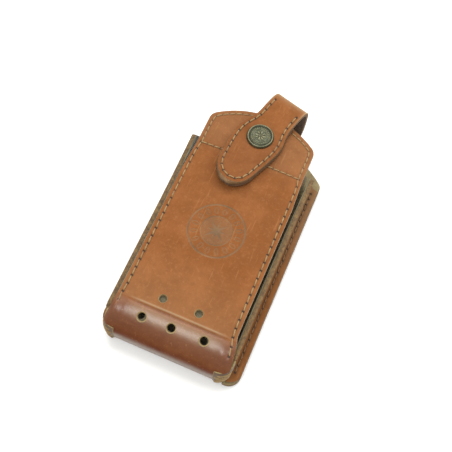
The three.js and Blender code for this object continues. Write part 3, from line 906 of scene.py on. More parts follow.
DISC_RADIUS = 8.5
LEAF_COUNT = 16
LEAF_RADIUS = 12.0
LEAF_HALF_WIDTH = 0.95
LEAF_HALF_LENGTH = 1.9


def leaf_ring(r, angle):
    """Outlined leaves that stand round the disc."""
    turn = 2 * math.pi / LEAF_COUNT
    off = ((angle / turn + 0.5) % 1 - 0.5) * turn * r
    outward = (r - LEAF_RADIUS) / LEAF_HALF_LENGTH
    width = LEAF_HALF_WIDTH * np.sqrt(np.clip(1 - outward**2, 0, 1))
    return line_mask(np.abs(off) - width, 0.17) * (np.abs(r - LEAF_RADIUS) < LEAF_HALF_LENGTH + 0.2)


def mark_depth(x, y):
    """How far the round mark is pressed in, from 0 to 1: rings, leaves, and a star on a sunken disc."""
    x = x - MARK_CENTRE[0]
    y = y - MARK_CENTRE[1]
    r = np.hypot(x, y)
    layers = [
        line_mask(r - MARK_RADIUS, 0.38),
        line_mask(r - DISC_RADIUS, 0.26),
        0.8 * line_mask(r - 6.6, 0.14),
        0.3 * (r < DISC_RADIUS),
        0.9 * star_mask(x, y, 4, 7.4, 1.3, math.pi / 4),
        0.9 * star_mask(x, y, 4, 5.6, 1.1),
        leaf_ring(r, np.arctan2(y, x)),
    ]
    return np.max(layers, axis=0) * (r < MARK_RADIUS + 1.5)


# ---- front leather: panel, crease and toe in one sheet ----


def ripple(x, y, size, height):
    """Slow, gentle unevenness."""
    wave = np.sin(x / size + 1.3) * np.cos(y / (size * 1.7) + 0.4) + 0.6 * np.sin((x + 1.4 * y) / (size * 1.3))
    return height * wave / 1.6


def front_grid():
    """Points of the whole front leather, from the toe's tail to the gabled top, and each row's distance
    from the crease. The spacing is finest where the mark, the crease and the round shoulders need it."""
    right = steps(0, (16.4, 0.36), (27.6, 0.8), (30.4, 0.4), (31.2, 0.2), (SHOULDER_HALF, 0.09))
    share = mirrored_steps(right) / SHOULDER_HALF
    y_rows = steps(CREASE_Y + 0.3, (CREASE_Y + 3, 0.3), (-13.5, 0.75), (19, 0.34), (FRONT_TOP_Y - 4, 0.75),
                   (FRONT_TOP_Y, 0.35))
    row_share = (y_rows - CREASE_Y) / (FRONT_TOP_Y - CREASE_Y)
    top_y = gable_y(share * SHOULDER_HALF, FRONT_GABLE)
    y = CREASE_Y + row_share[:, None] * (top_y - CREASE_Y)[None, :]
    x = np.stack([s * front_half_at(y_rows, s) for s in share], axis=1)
    distances = steps(0, (4.5, 0.3), (26, 0.7), (length_of(toe_profile(1.0)), 0.9))
    columns = []
    for s in share:
        line = toe_profile(abs(s))
        run = distances * length_of(line) / distances[-1]
        yz = resample(line, run)
        step = unit(np.gradient(yz, axis=0))
        yz = yz - np.stack([step[:, 1], -step[:, 0]], axis=1) * toe_droop(s, run)[:, None]
        columns.append(np.stack([s * toe_half_at(distances, s), yz[:, 0], yz[:, 1]], axis=1))
    toe = np.stack(columns, axis=1)[::-1]
    rounded_corner(toe, share)
    grid = np.concatenate([toe, surface(x, y, FRONT_Z)], axis=0)
    along = np.concatenate([-distances[::-1], y_rows - CREASE_Y])
    return grid, along


# Heights above the table at which the toe's finish changes, and where its painted shade, painted highlight and
# painted floor reflection lie.
POLISH_AND_SHADE_BELOW_Z = 18.5
WAXED_ABOVE_Z = 20.0
WAXED_BELOW_Z = 12.6
FLOOR_REFLECTION_BELOW_Z = 14.0
FLOOR_REFLECTION_FADE = 4.0
PAINTED_HIGHLIGHT_Z = 24.2

PIT_WIDTH = 0.75
GROOVE_WIDTH = 0.8


def front_relief(grid, along, inward, pit, mark):
    """How far the front's grain side is raised: pits, grooves, the patch's edge, the crease and the mark."""
    x, y, z = np.moveaxis(grid, -1, 0)
    on_panel = along > 0
    seam_line = np.concatenate([resample(h, np.arange(0, length_of(h), 0.8))
                                for h in (FRONT_HOLES, PATCH_HOLES)])
    groove = bell(nearest(grid[..., :2], seam_line), GROOVE_WIDTH) * on_panel
    patch_edge = above(y, PATCH_SEAM_Y - 1.2, 0.5) * on_panel
    crease = 0.30 * bell(along - 0.8, 0.65) - 0.34 * bell(along + 0.9, 0.65)
    pucker = bell(np.abs(x) - 28.5, 2.4) * bell(along + 9, 5)
    raised = ripple(x, y + z, 13, 0.16) + 0.16 * patch_edge + inward * crease + 0.5 * pucker
    return raised - 0.30 * pit - 0.14 * groove - 0.32 * mark


def front_paints(grid, along, inward, pit, mark):
    """Where the front is pressed, worn, polished and waxed, and where shade, a highlight and a floor reflection
    are painted on the toe.
    """
    x, y, z = np.moveaxis(grid, -1, 0)
    on_panel, on_toe = along > 0, along < 0
    bevel = below(along, -1.2, 0.6) * above(z, WAXED_ABOVE_Z, 1.2)
    foot = below(z, WAXED_BELOW_Z, 0.8) * on_toe
    # Painted floor reflection: a paler olive-grey band painted on the toe's lowest part.
    painted_floor_reflection = np.clip((FLOOR_REFLECTION_BELOW_Z - z) / FLOOR_REFLECTION_FADE, 0, 1) ** 1.2 * on_toe
    # Painted highlight: a cream band on the glossy bevel just below the crease.
    painted_highlight_band = bell(z - PAINTED_HIGHLIGHT_Z, 1.1) * (along < -2) * inward
    faded = 0.62 + 0.38 * np.sin(0.35 * x + 1.1) * np.cos(0.28 * y + 0.6)
    # Along the crease, the darkening in the groove is painted shade and the paler line on the ridge is a
    # painted highlight.
    pressed_and_painted_light = 0.72 * mark * faded + 0.45 * pit + 0.3 * bell(along + 0.9, 0.5) * inward
    dry = 0.065 * above(y, PATCH_SEAM_Y, 2) + 0.07 * np.clip(1 - along / 35, 0, 1)
    wear_and_painted_light = (0.34 * bell(along - 0.8, 0.5) * inward + (dry + 0.26 * mark) * on_panel
            + 0.24 * painted_highlight_band + 0.22 * painted_floor_reflection)
    return {
        # The grey on the glossy bevel is painted to tint its highlight; the grey at the toe's foot belongs to
        # the painted floor reflection.
        "pressed_and_painted_light": np.maximum(np.clip(pressed_and_painted_light, 0, 1), np.maximum(0.10 * bevel, 0.2 * painted_floor_reflection)),
        "wear_and_painted_light": np.clip(wear_and_painted_light, 0, 1),
        # Polish on the toe: partly polished leather, partly painted shade on the end wall, which faces away
        # from the lights.
        "polish_and_painted_shade": np.maximum(below(z, POLISH_AND_SHADE_BELOW_Z, 1.8) * on_toe, 0.62 * below(along, -3.5, 1.2)),
        "gloss": bevel + 0.9 * foot,
    }


def front_leather():
    """The panel, the crease and the toe, with their holes; returns the vents' places and normals."""
    grid, along = front_grid()
    x, y = grid[..., 0], grid[..., 1]
    along = np.broadcast_to(along[:, None], x.shape)
    inward = np.clip((FRONT_HALF - np.where(x > 0, 2.5, 5.5) - np.abs(x)) / 8, 0, 1)
    panel_holes = [[*h, FRONT_Z] for h in np.concatenate([FRONT_HOLES, PATCH_HOLES])]
    toe_holes = [h for side in SIDES.values() for h in toe_seam_holes(side)[0]]
    pit = bell(nearest(grid, np.array(panel_holes + toe_holes)), PIT_WIDTH)
    measures = (grid, along, inward, pit, mark_depth(x, y) * (along > 0))
    obj = sheet("front_leather", grid, TOE_THICKNESS, [TAN, DARK_FLESH, PALE_EDGE],
                front_relief(*measures), 0.25,
                front_paints(*measures))
    vents = [toe_point(x0 / toe_half_at(vent_distance(y0)), vent_distance(y0)) for x0, y0 in VENTS]
    cut(obj, pegs("vent_cutter", vents, VENT_RADIUS, 4))
    blinds = [((x0, y0, FRONT_Z), (0, 0, 1)) for x0, y0 in BLIND_HOLES]
    cut(obj, pegs("blind_cutter", blinds, BLIND_RADIUS, 4))
    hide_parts("front_panel", "toe")
    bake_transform(obj)
    return vents


def vent_distance(vent_y):
    """Distance from the crease to a vent hole's centre, along the roll."""
    line = toe_profile(0.0)
    distances = np.linspace(0, 12, 200)
    y = resample(line, distances)[:, 0]
    return float(np.interp(-vent_y, -y, distances))


def punched_rim(name, place, normal, radius, lip, body):
    """The raw, slightly dished edge of a punched hole; lip is how far it spreads over the leather."""
    rim = lathe(name, [
        (radius - 0.34, -1.6), (radius - 0.3, -0.7), (radius - 0.12, -0.12), (radius + 0.4 * lip, 0.1),
        (radius + 0.8 * lip, 0.08), (radius + lip, -0.12), (radius + 0.2, -0.6), (radius + 0.1, -1.6),
    ], PUNCHED, 36)
    rim.matrix_world = standing(place, normal)
    settle(rim, "case_leather", body)


def front_details(vents):
    """The rims of the punched holes, and the front's seams."""
    for side, (place, normal) in zip(("left", "middle", "right"), vents):
        punched_rim(f"vent_rim_{side}", place, normal, VENT_RADIUS, 0.45, "shell")
    for side, (x, y) in zip(("left", "right"), BLIND_HOLES):
        punched_rim(f"blind_hole_rim_{side}", (x, y, FRONT_Z), (0, 0, 1), BLIND_RADIUS, 0.16, "front_flap")
    for name, node, holes, lift in (("front_stitches", "front_seam", FRONT_HOLES, 0.0),
                                    ("patch_stitches", "patch_seam", PATCH_HOLES, 0.05)):
        places = np.array([[*p, FRONT_Z + lift] for p in holes])
        seam(name, node, "front_flap", places, facing(places, 1))
    for name, side in SIDES.items():
        seam(f"toe_side_stitches_{name}", f"toe_side_seam_{name}", "shell", *toe_seam_holes(side),
             holes_name=f"toe_side_holes_{name}", first_hole=1)


# ---- whip stitching at the toe's corners ----


def corner_line(name, z, count=17):
    """Outer face of a corner tab at height z, with the toe's rounding under at the foot."""
    plan = corner_plan(SIDES[name]["wall"], z, count)
    under = min(1.0, max(0.0, (FOOT_RADIUS - z) / FOOT_RADIUS))
    plan[:, 1] += FOOT_RADIUS * (1 - math.sqrt(1 - under**2)) * np.linspace(0, 1, count) ** 0.5
    return np.concatenate([plan, np.full((count, 1), z)], axis=1)


def corner_tab(name):
    """The gusset's end, wrapped round the toe's corner on to the end wall, and its whip stitches."""
    sign = SIDES[name]["sign"]
    levels = np.linspace(CORNER_FOOT_Z, CORNER_TOP_Z, 20)
    grid = np.array([corner_line(name, z) for z in levels])
    climb = np.linspace(1, 0, grid.shape[1]) * EAR_RISE
    grid[-4:, :, 2] += np.linspace(0.2, 1, 4)[:, None] * climb[None, :]
    grid = grid[:, ::-1] * [sign, 1, 1] if sign > 0 else grid * [sign, 1, 1]
    tab = sheet(f"corner_tab_{name}", grid, 1.2, [DARK_FLESH, DARK_FLESH, KHAKI_EDGE], None, 0.3)
    settle(tab, "case_leather", "shell")
    runs = []
    first_z, last_z = CORNER_FOOT_Z + 0.8, CORNER_TOP_Z - 1.8
    for row, z in enumerate(np.linspace(first_z, last_z, CORNER_STITCH_ROWS)):
        path = corner_line(name, z, 13)[3:]
        path[:, 2] += np.linspace(0.9, -0.5, len(path)) + 0.15 * math.sin(5.1 * row)
        path = path[: len(path) - (row % 2)]
        outward = unit(np.cross([0.0, 0.0, 1.0], unit(np.gradient(path, axis=0))))
        path = path + outward * 0.3
        path[0] -= outward[0] * 0.8
        path[-1] -= outward[-1] * 0.9
        runs.append((path * [sign, 1, 1], outward * [sign, 1, 1]))
    obj = thread_object(f"corner_whip_{name}", runs, 0.4)
    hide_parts(f"corner_stitching_{name}")
    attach(obj, "shell")


# ---- back panel, gussets and their linings ----


def back_leather():
    """The back panel, flesh side up, its grain side down."""
    full = BACK_HIGH[0]
    notch = TOE_HIGH[0] - 1.6
    right = steps(0, (notch - 0.1, 1.8), (notch + 0.1, 0.2), (full - 2, 0.5), (full - 0.4, 0.3), (full, 0.1))
    low, high, x = [], [], []
    foot_y = box_mm("back_lining")[0][1]
    for column in mirrored_steps(right):
        side = side_of(column)
        place = abs(column) * side["flange"] / full
        corner = side["corner"]
        reach = min(max(place - (side["flange"] - corner), 0), corner)
        x.append(side["sign"] * place)
        low.append(foot_y if abs(column) < notch else side["foot"] + corner - math.sqrt(corner**2 - reach**2))
        high.append(float(gable_y(np.array(column), BACK_GABLE)))
    x, low, high = np.array(x), np.array(low), np.array(high)
    t = steps(0, (1, 1 / 80))
    y = low[None, :] + t[:, None] * (high - low)[None, :]
    grid = surface(x, y, BACK_HIGH[2])
    obj = sheet("back_leather", grid, BACK_HIGH[2] - BACK_LOW[2], [FLESH, BROWN, RAW])
    settle(obj, "back_leather", "shell", "back_panel")


def back_suede():
    """The pocket's floor: the lining glued to the back panel, up to just inside its gable."""
    low, high = box_mm("back_lining")
    x = mirrored_steps(steps(0, (SIDES["left"]["wall"] - WALL_THICKNESS - 0.9, 1.0)))
    t = steps(0, (1, 1 / 60))
    top = np.minimum(gable_y(x, BACK_GABLE) - 5, 68)
    y = low[1] + t[:, None] * (top - low[1])[None, :]
    obj = sheet("back_suede", surface(x, y, high[2]), high[2] - low[2], [LINING] * 3, bulge=0.1)
    settle(obj, "lining", "shell", "back_lining")


WALL_SLANT_Y = 54.5
WALL_SLANT_LENGTH = 5.0
WALL_END_RISE = 3.4


def wall_top_at(y):
    """Height of a gusset wall's edge: level, tucked under the toe, and cut off at its top end."""
    across = np.clip((CREASE_Y + 1 - y) / (CREASE_Y - TOE_OUT_Y + 1), 0, 1)
    toe_z = ROLL_CENTRE_Z + (FRONT_Z - ROLL_CENTRE_Z) * math.sqrt(1 - across**2) - TOE_THICKNESS - 1.7
    end = np.clip((y - WALL_SLANT_Y) / WALL_SLANT_LENGTH, 0, 1)
    return min(toe_z, GUSSET_HIGH[2]) - (GUSSET_HIGH[2] - INSIDE_Z - WALL_END_RISE) * end**1.8


WALL_STEPS = 14
FLANGE_SEAM_INSET = 3.4
SUEDE_THICKNESS = 0.6


def gusset_section(side, y):
    """Outer face of one gusset as (x, z) points, from the wall's top edge to the flange's edge."""
    bend = 1.3
    flange_z = INSIDE_Z + LEATHER
    splay = side["lean"] + side["splay"] * np.clip((y + 20) / 75, 0, 1) ** 2
    wall_z = np.linspace(float(wall_top_at(y)), flange_z + bend, WALL_STEPS)
    wall = np.stack([side["wall"] + splay * (wall_z - flange_z) / 13, wall_z], axis=1)
    fold = arc((side["wall"] + bend, flange_z + bend), bend, 180, 270, 7)[1:]
    out = np.linspace(side["wall"] + bend, side["flange"], 10)[1:]
    flange = np.stack([out, np.full_like(out, flange_z)], axis=1)
    return np.concatenate([wall, fold, flange])


WALL_LOW_Y = -62.0
WALL_HIGH_Y = 59.4


def gusset_grid(side):
    """Points of a gusset's outer face, with x positive on either side; its foot follows the corner's curve."""
    wall_low, wall_high = WALL_LOW_Y, WALL_HIGH_Y
    rows = []
    for t in steps(0, (0.1, 0.008), (0.9, 0.02), (1, 0.005)):
        section = gusset_section(side, wall_low + t * (wall_high - wall_low))
        rank = np.clip((np.arange(len(section)) - WALL_STEPS + 1) / 6, 0, 1)
        reach = np.clip(section[:, 0] - (side["flange"] - side["corner"]), 0, side["corner"])
        round_off = side["corner"] - np.sqrt(side["corner"] ** 2 - reach**2)
        low = wall_low + rank * (side["foot"] + 0.3 - wall_low) + round_off
        high = wall_high - rank * 2.0 - 0.25 * round_off
        rows.append(np.stack([section[:, 0], low + t * (high - low), section[:, 1]], axis=1))
    grid = np.array(rows)
    plan = corner_plan(side["wall"], CORNER_FOOT_Z)
    turn = side["wall"] - np.interp(-grid[..., 1], -plan[:, 1], plan[:, 0])
    share = np.clip((grid[..., 0] - side["wall"]) / (side["flange"] - side["wall"]), 0, 1)
    grid[..., 0] -= np.where(grid[..., 1] < plan[0, 1], turn + 0.3, 0) * (1 - share)
    grid[..., 0] += ripple(grid[..., 1], grid[..., 2], 9, 0.12)
    return grid


def gusset(name):
    """A gusset, its lining and its flange's stitches."""
    side = SIDES[name]
    sign = side["sign"]
    grid = gusset_grid(side)
    if sign < 0:
        grid = grid[:, ::-1] * [-1, 1, 1]
    seam_x = sign * (side["flange"] - FLANGE_SEAM_INSET)
    flange_z = INSIDE_Z + LEATHER
    hole_y = np.arange(FLANGE_SEAM_HIGH[1] - 1.5, side["foot"] + 4, -FLANGE_PITCH)
    holes = np.array([[seam_x + 0.12 * math.sin(2.3 * k), y, flange_z] for k, y in enumerate(hole_y)])
    pit = bell(nearest(grid, holes), 0.85)
    groove = bell(grid[..., 0] - seam_x, 0.6) * (grid[..., 2] < flange_z + 1)
    # The flange's leather grows paler towards its top end.
    paints = {"pressed_and_painted_light": 0.6 * pit, "wear_and_painted_light": 0.17 * np.clip((grid[..., 1] + 10) / 50, 0, 1)}
    obj = sheet(f"gusset_leather_{name}", grid, WALL_THICKNESS, [BROWN, DARK_FLESH, WALL_EDGE],
                -0.3 * pit - 0.15 * groove, 0.15, paints)
    settle(obj, "case_leather", "shell", f"gusset_{name}")
    seam(f"flange_stitches_{name}", f"flange_seam_{name}", "shell", holes, facing(holes, 1), 0.3, 0.62,
         f"flange_holes_{name}", BROWN_THREAD)
    wall = grid[:, :WALL_STEPS] if sign > 0 else grid[:, -WALL_STEPS:]
    inner = wall - grid_normals(wall) * (WALL_THICKNESS + 0.05)
    inner[..., 2] = np.maximum(inner[..., 2] - 0.15, INSIDE_Z + 0.7)
    lining = sheet(f"gusset_suede_{name}", inner, SUEDE_THICKNESS, [LINING] * 3, bulge=0.1)
    settle(lining, "lining", "shell", f"gusset_lining_{name}")


# ---- closure strap ----


def strap_line():
    """The strap's outer face as (y, z) in its own frame, from the tongue's tip to the sewn tail."""
    half = STRAP_THICKNESS / 2
    crown_y = ARCH["y"] + ARCH["radius"] + half
    crown_z = ARCH["z"] + ARCH["radius"] + half
    top_z = TONGUE_Z + half
    tail_z = 0.3
    lift_y = np.linspace(TONGUE_TIP_Y, TONGUE_LIFT_Y, 30)
    lift = TONGUE_LIFT * ((TONGUE_LIFT_Y - lift_y) / (TONGUE_LIFT_Y - TONGUE_TIP_Y)) ** 2
    tongue = np.stack([lift_y, top_z + lift], axis=1)
    level = [[4.0, top_z]]
    rise = bezier((6, top_z), (13, top_z), (18, crown_z), (ARCH["y"], crown_z))
    bend = arc((ARCH["y"], ARCH["z"]), ARCH["radius"] + half, 90, 0, 30)[1:]
    drop = bezier((crown_y, ARCH["z"]), (crown_y, 12), (crown_y - 1.5, tail_z), (crown_y - 12.5, tail_z))[1:]
    return np.concatenate([tongue, level, rise, bend, drop, [[STRAP_TAIL_Y, tail_z]]])


def tongue_outline():
    """The right edge of the tongue as (y, half width), from its tip to the arch."""
    tip = bezier((0, TONGUE_TIP_Y), (6.8, TONGUE_TIP_Y), (10.4, -28.0), (11.3, -20.5))
    swell = bezier((11.3, -20.5), (12.1, -15), (13.8, -9), (13.8, -2))
    waist = bezier((13.8, -2), (13.8, 5), (STRAP_HALF, 8), (STRAP_HALF, 15))
    line = np.concatenate([tip, swell[1:], waist[1:]])
    return line[:, ::-1]


TONGUE = tongue_outline()
STRAP_SHARES = mirrored_steps(steps(0, (0.62, 0.09), (0.94, 0.045), (1.0, 0.02)))


def tongue_half(y):
    return np.interp(y, TONGUE[:, 0], TONGUE[:, 1])


def strap_place(across, along, height):
    """Points of the strap's own frame, put into the case's; the strap bows a little to one side."""
    across = across + STRAP_BOW * along**2
    level = STRAP_ORIGIN * [1, 1, 0] + across[..., None] * STRAP_ACROSS + along[..., None] * STRAP_ALONG
    return level + height[..., None] * [0, 0, 1]


def tongue_curl(share, along):
    """How far the tongue's edges curl up; share is x over its half width."""
    return 0.35 * np.abs(share) ** 3 * np.clip((10 - along) / 20, 0, 1)


def strap_grid(distances, line):
    """Points of the strap's outer face, and how far across and along the strap each lies."""
    yz = resample(line, distances)
    on_tongue = np.cumsum(yz[:, 0] > ARCH["y"] - 1) == 0
    half = np.where(on_tongue, tongue_half(yz[:, 0]), STRAP_HALF)
    across = half[:, None] * STRAP_SHARES[None, :]
    along = np.broadcast_to(yz[:, :1], across.shape)
    height = yz[:, 1:] + tongue_curl(STRAP_SHARES[None, :], along) * on_tongue[:, None]
    return strap_place(across, along, height), across, along


LEFT_SEAM_EXTRA = 2.0


def strap_seam_points():
    """Hole places along the tongue's edge, from the left of the arch round the tip to the right."""
    inset = 2.2
    line = np.stack([TONGUE[:, 1], TONGUE[:, 0]], axis=1)
    line = np.concatenate([line, [[STRAP_HALF, 21.5]]])
    normal = unit(np.gradient(line, axis=0))[:, ::-1] * [1, -1]
    moved = line - normal * inset
    moved = moved[moved[:, 0] >= 0]
    moved[0, 0] = 0
    moved = moved[np.concatenate([[True], np.diff(moved[:, 1]) > -0.01])]
    longer = np.concatenate([moved, moved[-1:] + [0, LEFT_SEAM_EXTRA]])
    left = spaced(longer, STRAP_PITCH)
    return np.concatenate([left[:0:-1] * [-1, 1], spaced(moved, STRAP_PITCH)])


def strap_height(along):
    """Height of the strap's outer face over the tongue and the rise to the arch."""
    line = strap_line()
    line = line[: int(np.argmax(line[:, 0] > ARCH["y"] - 0.5))]
    return np.interp(along, line[:, 0], line[:, 1])


def strap_surface(points):
    """Places and normals on the strap's outer face above plan points of its own frame."""
    across, along = points[:, 0], points[:, 1]
    places = strap_place(across, along, strap_height(along) + tongue_curl(across / tongue_half(along), along))
    slope = (strap_height(along + 0.3) - strap_height(along - 0.3)) / 0.6
    normals = unit(np.array([0, 0, 1.0]) - slope[:, None] * STRAP_ALONG)
    return places, normals


ARCH_DISTANCE = 66


def closure_strap():
    """The strap's outer layer, from the tongue over the arch to the tail sewn under the back."""
    line = strap_line()
    distances = steps(0, (0.4, 0.05), (3, 0.2), (72, 0.6), (length_of(line), 0.9))
    grid, across, along = strap_grid(distances, line)
    places, normals = strap_surface(strap_seam_points())
    pit = bell(nearest(grid, places), PIT_WIDTH)
    groove = bell(nearest(grid, resample(places, np.arange(0, length_of(places), 0.9))), PIT_WIDTH)
    dish = bell(np.hypot(across, along), 8.6)
    relief = ripple(across, along, 8, 0.09) - 0.28 * pit - 0.14 * groove - 0.35 * dish
    run = distances[:, None]
    # The arch's crest and the strap's edges there are paler: partly real wear, partly a painted highlight where
    # the bend catches the light.
    rubbed_and_lit_edge = np.clip(np.abs(across) - (STRAP_HALF - 1.2), 0, 1) * bell(run - ARCH_DISTANCE + 4, 12)
    wear_and_painted_light = 0.85 * bell(run - ARCH_DISTANCE, 4.5) + 0.35 * rubbed_and_lit_edge
    handled = 0.14 * np.clip((12 - along) / 10, 0, 1)
    paints = {"pressed_and_painted_light": np.maximum(0.45 * pit, 0.5 * handled), "wear_and_painted_light": np.clip(wear_and_painted_light, 0, 0.85),
              "polish_and_painted_shade": handled}
    obj = sheet("strap_leather", grid, STRAP_THICKNESS, [TAN, DARK_FLESH, STRAP_EDGE], relief, 0.3, paints)
    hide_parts("strap_outer", "strap_riser")
    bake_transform(obj)
    seam("strap_stitches", "strap_seam", "closure_strap", places, normals)


BACKING_THICKNESS = 1.7
BACKING_INSET = 0.35


def tongue_backing():
    """The second layer under the tongue, a shade smaller, with a hole for the snap's socket."""
    run = np.linspace(TONGUE_TIP_Y - BACKING_INSET, UNDER_END_Y, 120)
    under = np.stack([run, strap_height(run) - STRAP_THICKNESS - 0.12], axis=1)
    yz = resample(under, steps(0, (0.4, 0.05), (3, 0.25), (length_of(under), 0.9)))
    half = np.maximum(tongue_half(yz[:, 0] + BACKING_INSET) + 0.1, 0.3)
    across = half[:, None] * STRAP_SHARES[None, :]
    along = np.broadcast_to(yz[:, :1], across.shape)
    grid = strap_place(across, along, yz[:, 1:] + tongue_curl(STRAP_SHARES[None, :], along))
    obj = sheet("tongue_backing", grid, BACKING_THICKNESS, [DARK_FLESH, BROWN, BURNISHED], None, 0.35)
    centre = (SOCKET_LOW + SOCKET_HIGH) / 2
    cut(obj, pegs("socket_cutter", [(centre, (0, 0, 1))], (SOCKET_HIGH[0] - SOCKET_LOW[0]) / 2 + 0.15, 6))
    settle(obj, "back_leather", "closure_strap", "strap_under")


# ---- snap cap ----


CAP_EDGE = 7.7
CAP_FALL_START = 7.15
BEAD_COUNT = 26
BEAD_RADIUS = 5.0
PETAL_COUNT = 8
BOSS_RADIUS = 3.4
CAP_SKIRT = np.array([(7.8, 0.32), (7.72, 0.12), (7.4, 0.0), (3.0, 0.0), (0.02, 0.0)])


def cap_detail(r, angle):
    """Relief of the cap: rolled rim, groove, ring of beads, fine ring and a petalled boss."""
    turn = 2 * math.pi / BEAD_COUNT
    off = ((angle / turn) % 1 - 0.5) * turn * BEAD_RADIUS
    petals = (0.5 + 0.5 * np.cos(PETAL_COUNT * angle)) ** 0.7
    boss = petals * np.clip(1 - (r / BOSS_RADIUS) ** 4, 0, 1) * np.clip(r / 0.8, 0, 1)
    rings = 0.34 * bell(r - 6.9, 0.4) - 0.22 * bell(r - 6.2, 0.26) + 0.24 * bell(r - 3.95, 0.18)
    beads = bell(np.hypot(off, r - BEAD_RADIUS), 0.42)
    return rings + 0.36 * beads + 0.34 * boss + 0.42 * bell(r, 0.75)


def snap_cap():
    """The cap's relief, its rolled skirt and its closed underside."""
    radii = steps(0.02, (7.1, 0.14), (CAP_EDGE, 0.06))
    angles = np.linspace(0, 2 * math.pi, 208, endpoint=False)
    r, angle = np.meshgrid(radii, angles, indexing="ij")
    detail = cap_detail(r, angle)
    dome = 1.3 + 0.4 * (1 - (r / CAP_EDGE) ** 2)
    fall = np.clip((r - CAP_FALL_START) / (CAP_EDGE - CAP_FALL_START), 0, 1) ** 2
    height = (dome + detail) * (1 - fall) + 0.5 * fall
    skirt_r, skirt_height = (np.repeat(CAP_SKIRT[:, k:k + 1], len(angles), axis=1) for k in (0, 1))
    r = np.concatenate([r, skirt_r])
    height = np.concatenate([height, skirt_height])
    detail = np.concatenate([detail, np.zeros_like(skirt_r)])
    base_z = TONGUE_Z + STRAP_THICKNESS / 2 - 0.3
    points = surface(r * np.cos(angles), r * np.sin(angles), height) + STRAP_ORIGIN * [1, 1, 0] + [0, 0, base_z]
    numbers = np.arange(r.size).reshape(r.shape)
    numbers = np.concatenate([numbers, numbers[:, :1]], axis=1)
    obj = mesh_object("snap_cap_relief", points.reshape(-1, 3), quads(numbers), [BRASS], sharp=70)
    paint(obj, "pressed_and_painted_light", np.clip(0.75 - 3.2 * detail, 0, 1) * (r < 6.6))
    paint(obj, "wear_and_painted_light", np.clip(2.4 * detail - 0.35, 0, 0.6))
    settle(obj, "snap_metal", "closure_strap", "snap_cap")


# ---- the back: belt loop and lapped tails ----


LOOP_THICKNESS = 1.6
LOOP_SEWN_Y = 24.0
LOOP_LEVEL_Y = 17.0
LOOP_CORNER = 2.5


def belt_loop():
    """The loop on the back, pressed nearly flat, grain side out (down)."""
    under = LOOP_HIGH[2] - LOOP_THICKNESS
    half, end = LOOP_HIGH[0], LOOP_HIGH[1]
    y = steps(LOOP_LOW[1], (end, 0.8))[:, None]
    rise = np.clip((np.abs(y) - LOOP_LEVEL_Y) / (LOOP_SEWN_Y - LOOP_LEVEL_Y), 0, 1)
    corner = np.clip(np.abs(y) - (end - LOOP_CORNER), 0, LOOP_CORNER)
    width = half - LOOP_CORNER + np.sqrt(np.maximum(LOOP_CORNER**2 - corner**2, 0.01))
    share = mirrored_steps(steps(0, (0.85, 0.08), (1.0, 0.03)))
    grid = surface(-share[None, :] * width, y, under * rise**2 * (3 - 2 * rise))
    rows = {}
    for name, sign in (("upper", 1), ("lower", -1)):
        middle = sign * (end + LOOP_SEWN_Y) / 2
        box = rectangle(half - SEAM_INSET, middle - 3, middle + 3)
        rows[name] = np.array([[*p, under] for p in spaced(box, FLANGE_PITCH)])
    pit = bell(nearest(grid, np.concatenate(list(rows.values()))), 0.8)
    obj = sheet("belt_loop_leather", grid, LOOP_THICKNESS, [BROWN, FLESH, BURNISHED], -0.2 * pit, 0.2,
                {"pressed_and_painted_light": 0.4 * pit})
    settle(obj, "back_leather", "shell", "belt_loop")
    for name, holes in rows.items():
        seam(f"belt_loop_stitches_{name}", f"belt_loop_seam_{name}", "shell", holes, facing(holes, -1),
             0.28, 0.55,
             f"belt_loop_holes_{name}")


def tail_stitches():
    """Seams that hold the toe's and the strap's tails to the back."""
    seam_low, seam_high = box_mm("toe_tail_seam")
    hole_z = TOE_LOW[2] + 0.3
    y = (seam_low[1] + seam_high[1]) / 2
    toe = np.array([[*p, hole_z] for p in spaced(np.array([[seam_low[0], y], [seam_high[0], y]]), FRONT_PITCH)])
    points = spaced(rectangle(STRAP_HALF - 2.2, STRAP_TAIL_Y + 2.2, 10.0), FRONT_PITCH)
    strap = strap_place(points[:, 0], points[:, 1], np.full(len(points), hole_z))
    for name, holes in (("toe_tail", toe), ("strap_tail", strap)):
        seam(f"{name}_stitches", f"{name}_seam", "shell", holes, facing(holes, -1), 0.26, 0.55)


# ---- CAD nodes that stay, with their finish ----


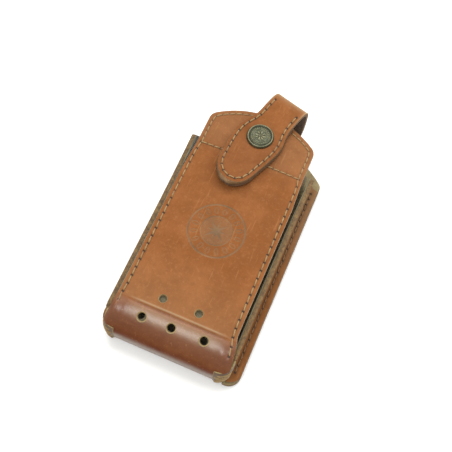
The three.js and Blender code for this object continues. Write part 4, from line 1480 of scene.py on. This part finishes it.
def dress(material, *nodes):
    """Gives CAD nodes that are shown as they are one of this file's materials."""
    for node in nodes:
        obj = frame["nodes"][node]
        obj.data.materials.clear()
        obj.data.materials.append(material)


# ---- studio ----


# Each light's name, place, target, size, power and colour, in metres and watts.
LIGHTS = [
    ("overhead", (-0.10, 0.62, 1.0), (0, 0.02, 0), (1.3, 0.8), 12, (1.0, 0.99, 0.97)),
    ("front_softbox", (-0.16, -0.40, 1.0), (0, -0.05, 0), (0.5, 0.22), 4.2, (1.0, 1.0, 1.0)),
    ("window", (0.60, 0.40, 0.5), (0, 0.03, 0), (0.6, 0.5), 2, (0.97, 0.99, 1.0)),
]
FLOOR_HALF = 12.0
DAYLIGHT = (0.97, 0.99, 0.97, 1.0)


def area_light(name, place, target, size, power, colour):
    data = bpy.data.lights.new(name, "AREA")
    data.shape = "RECTANGLE"
    data.size, data.size_y = size
    data.energy = power
    data.color = colour
    light = bpy.data.objects.new(name, data)
    light.location = place
    light.rotation_euler = (Vector(target) - Vector(place)).to_track_quat("-Z", "Y").to_euler()
    bpy.context.collection.objects.link(light)


def studio():
    """A white paper floor under a pale sky and three soft lights."""
    scene = bpy.context.scene
    scene.view_settings.view_transform = "Standard"
    scene.world = bpy.data.worlds.new("studio")
    scene.world.use_nodes = True
    background = scene.world.node_tree.nodes["Background"]
    background.inputs["Color"].default_value = DAYLIGHT
    background.inputs["Strength"].default_value = 0.72
    n = Nodes("white_paper")
    paper = n.finish(n.mix(n.noise(30), (0.93, 0.93, 0.93), (0.95, 0.95, 0.945)), 0.5)
    corners = np.array([[-1, -1, 0], [1, -1, 0], [1, 1, 0], [-1, 1, 0]]) * FLOOR_HALF / MM
    mesh_object("floor", corners, [(0, 1, 2, 3)], [paper], smooth=False)
    for light in LIGHTS:
        area_light(*light)


# ---- assembly ----

studio()
front_details(front_leather())
for side_name in SIDES:
    corner_tab(side_name)
    gusset(side_name)
back_leather()
back_suede()
closure_strap()
tongue_backing()
snap_cap()
belt_loop()
tail_stitches()
dress(LINING, "toe_lining", "front_lining")
dress(BROWN, "front_patch")
dress(BRASS, "snap_stud", "snap_stud_rivet", "snap_socket")
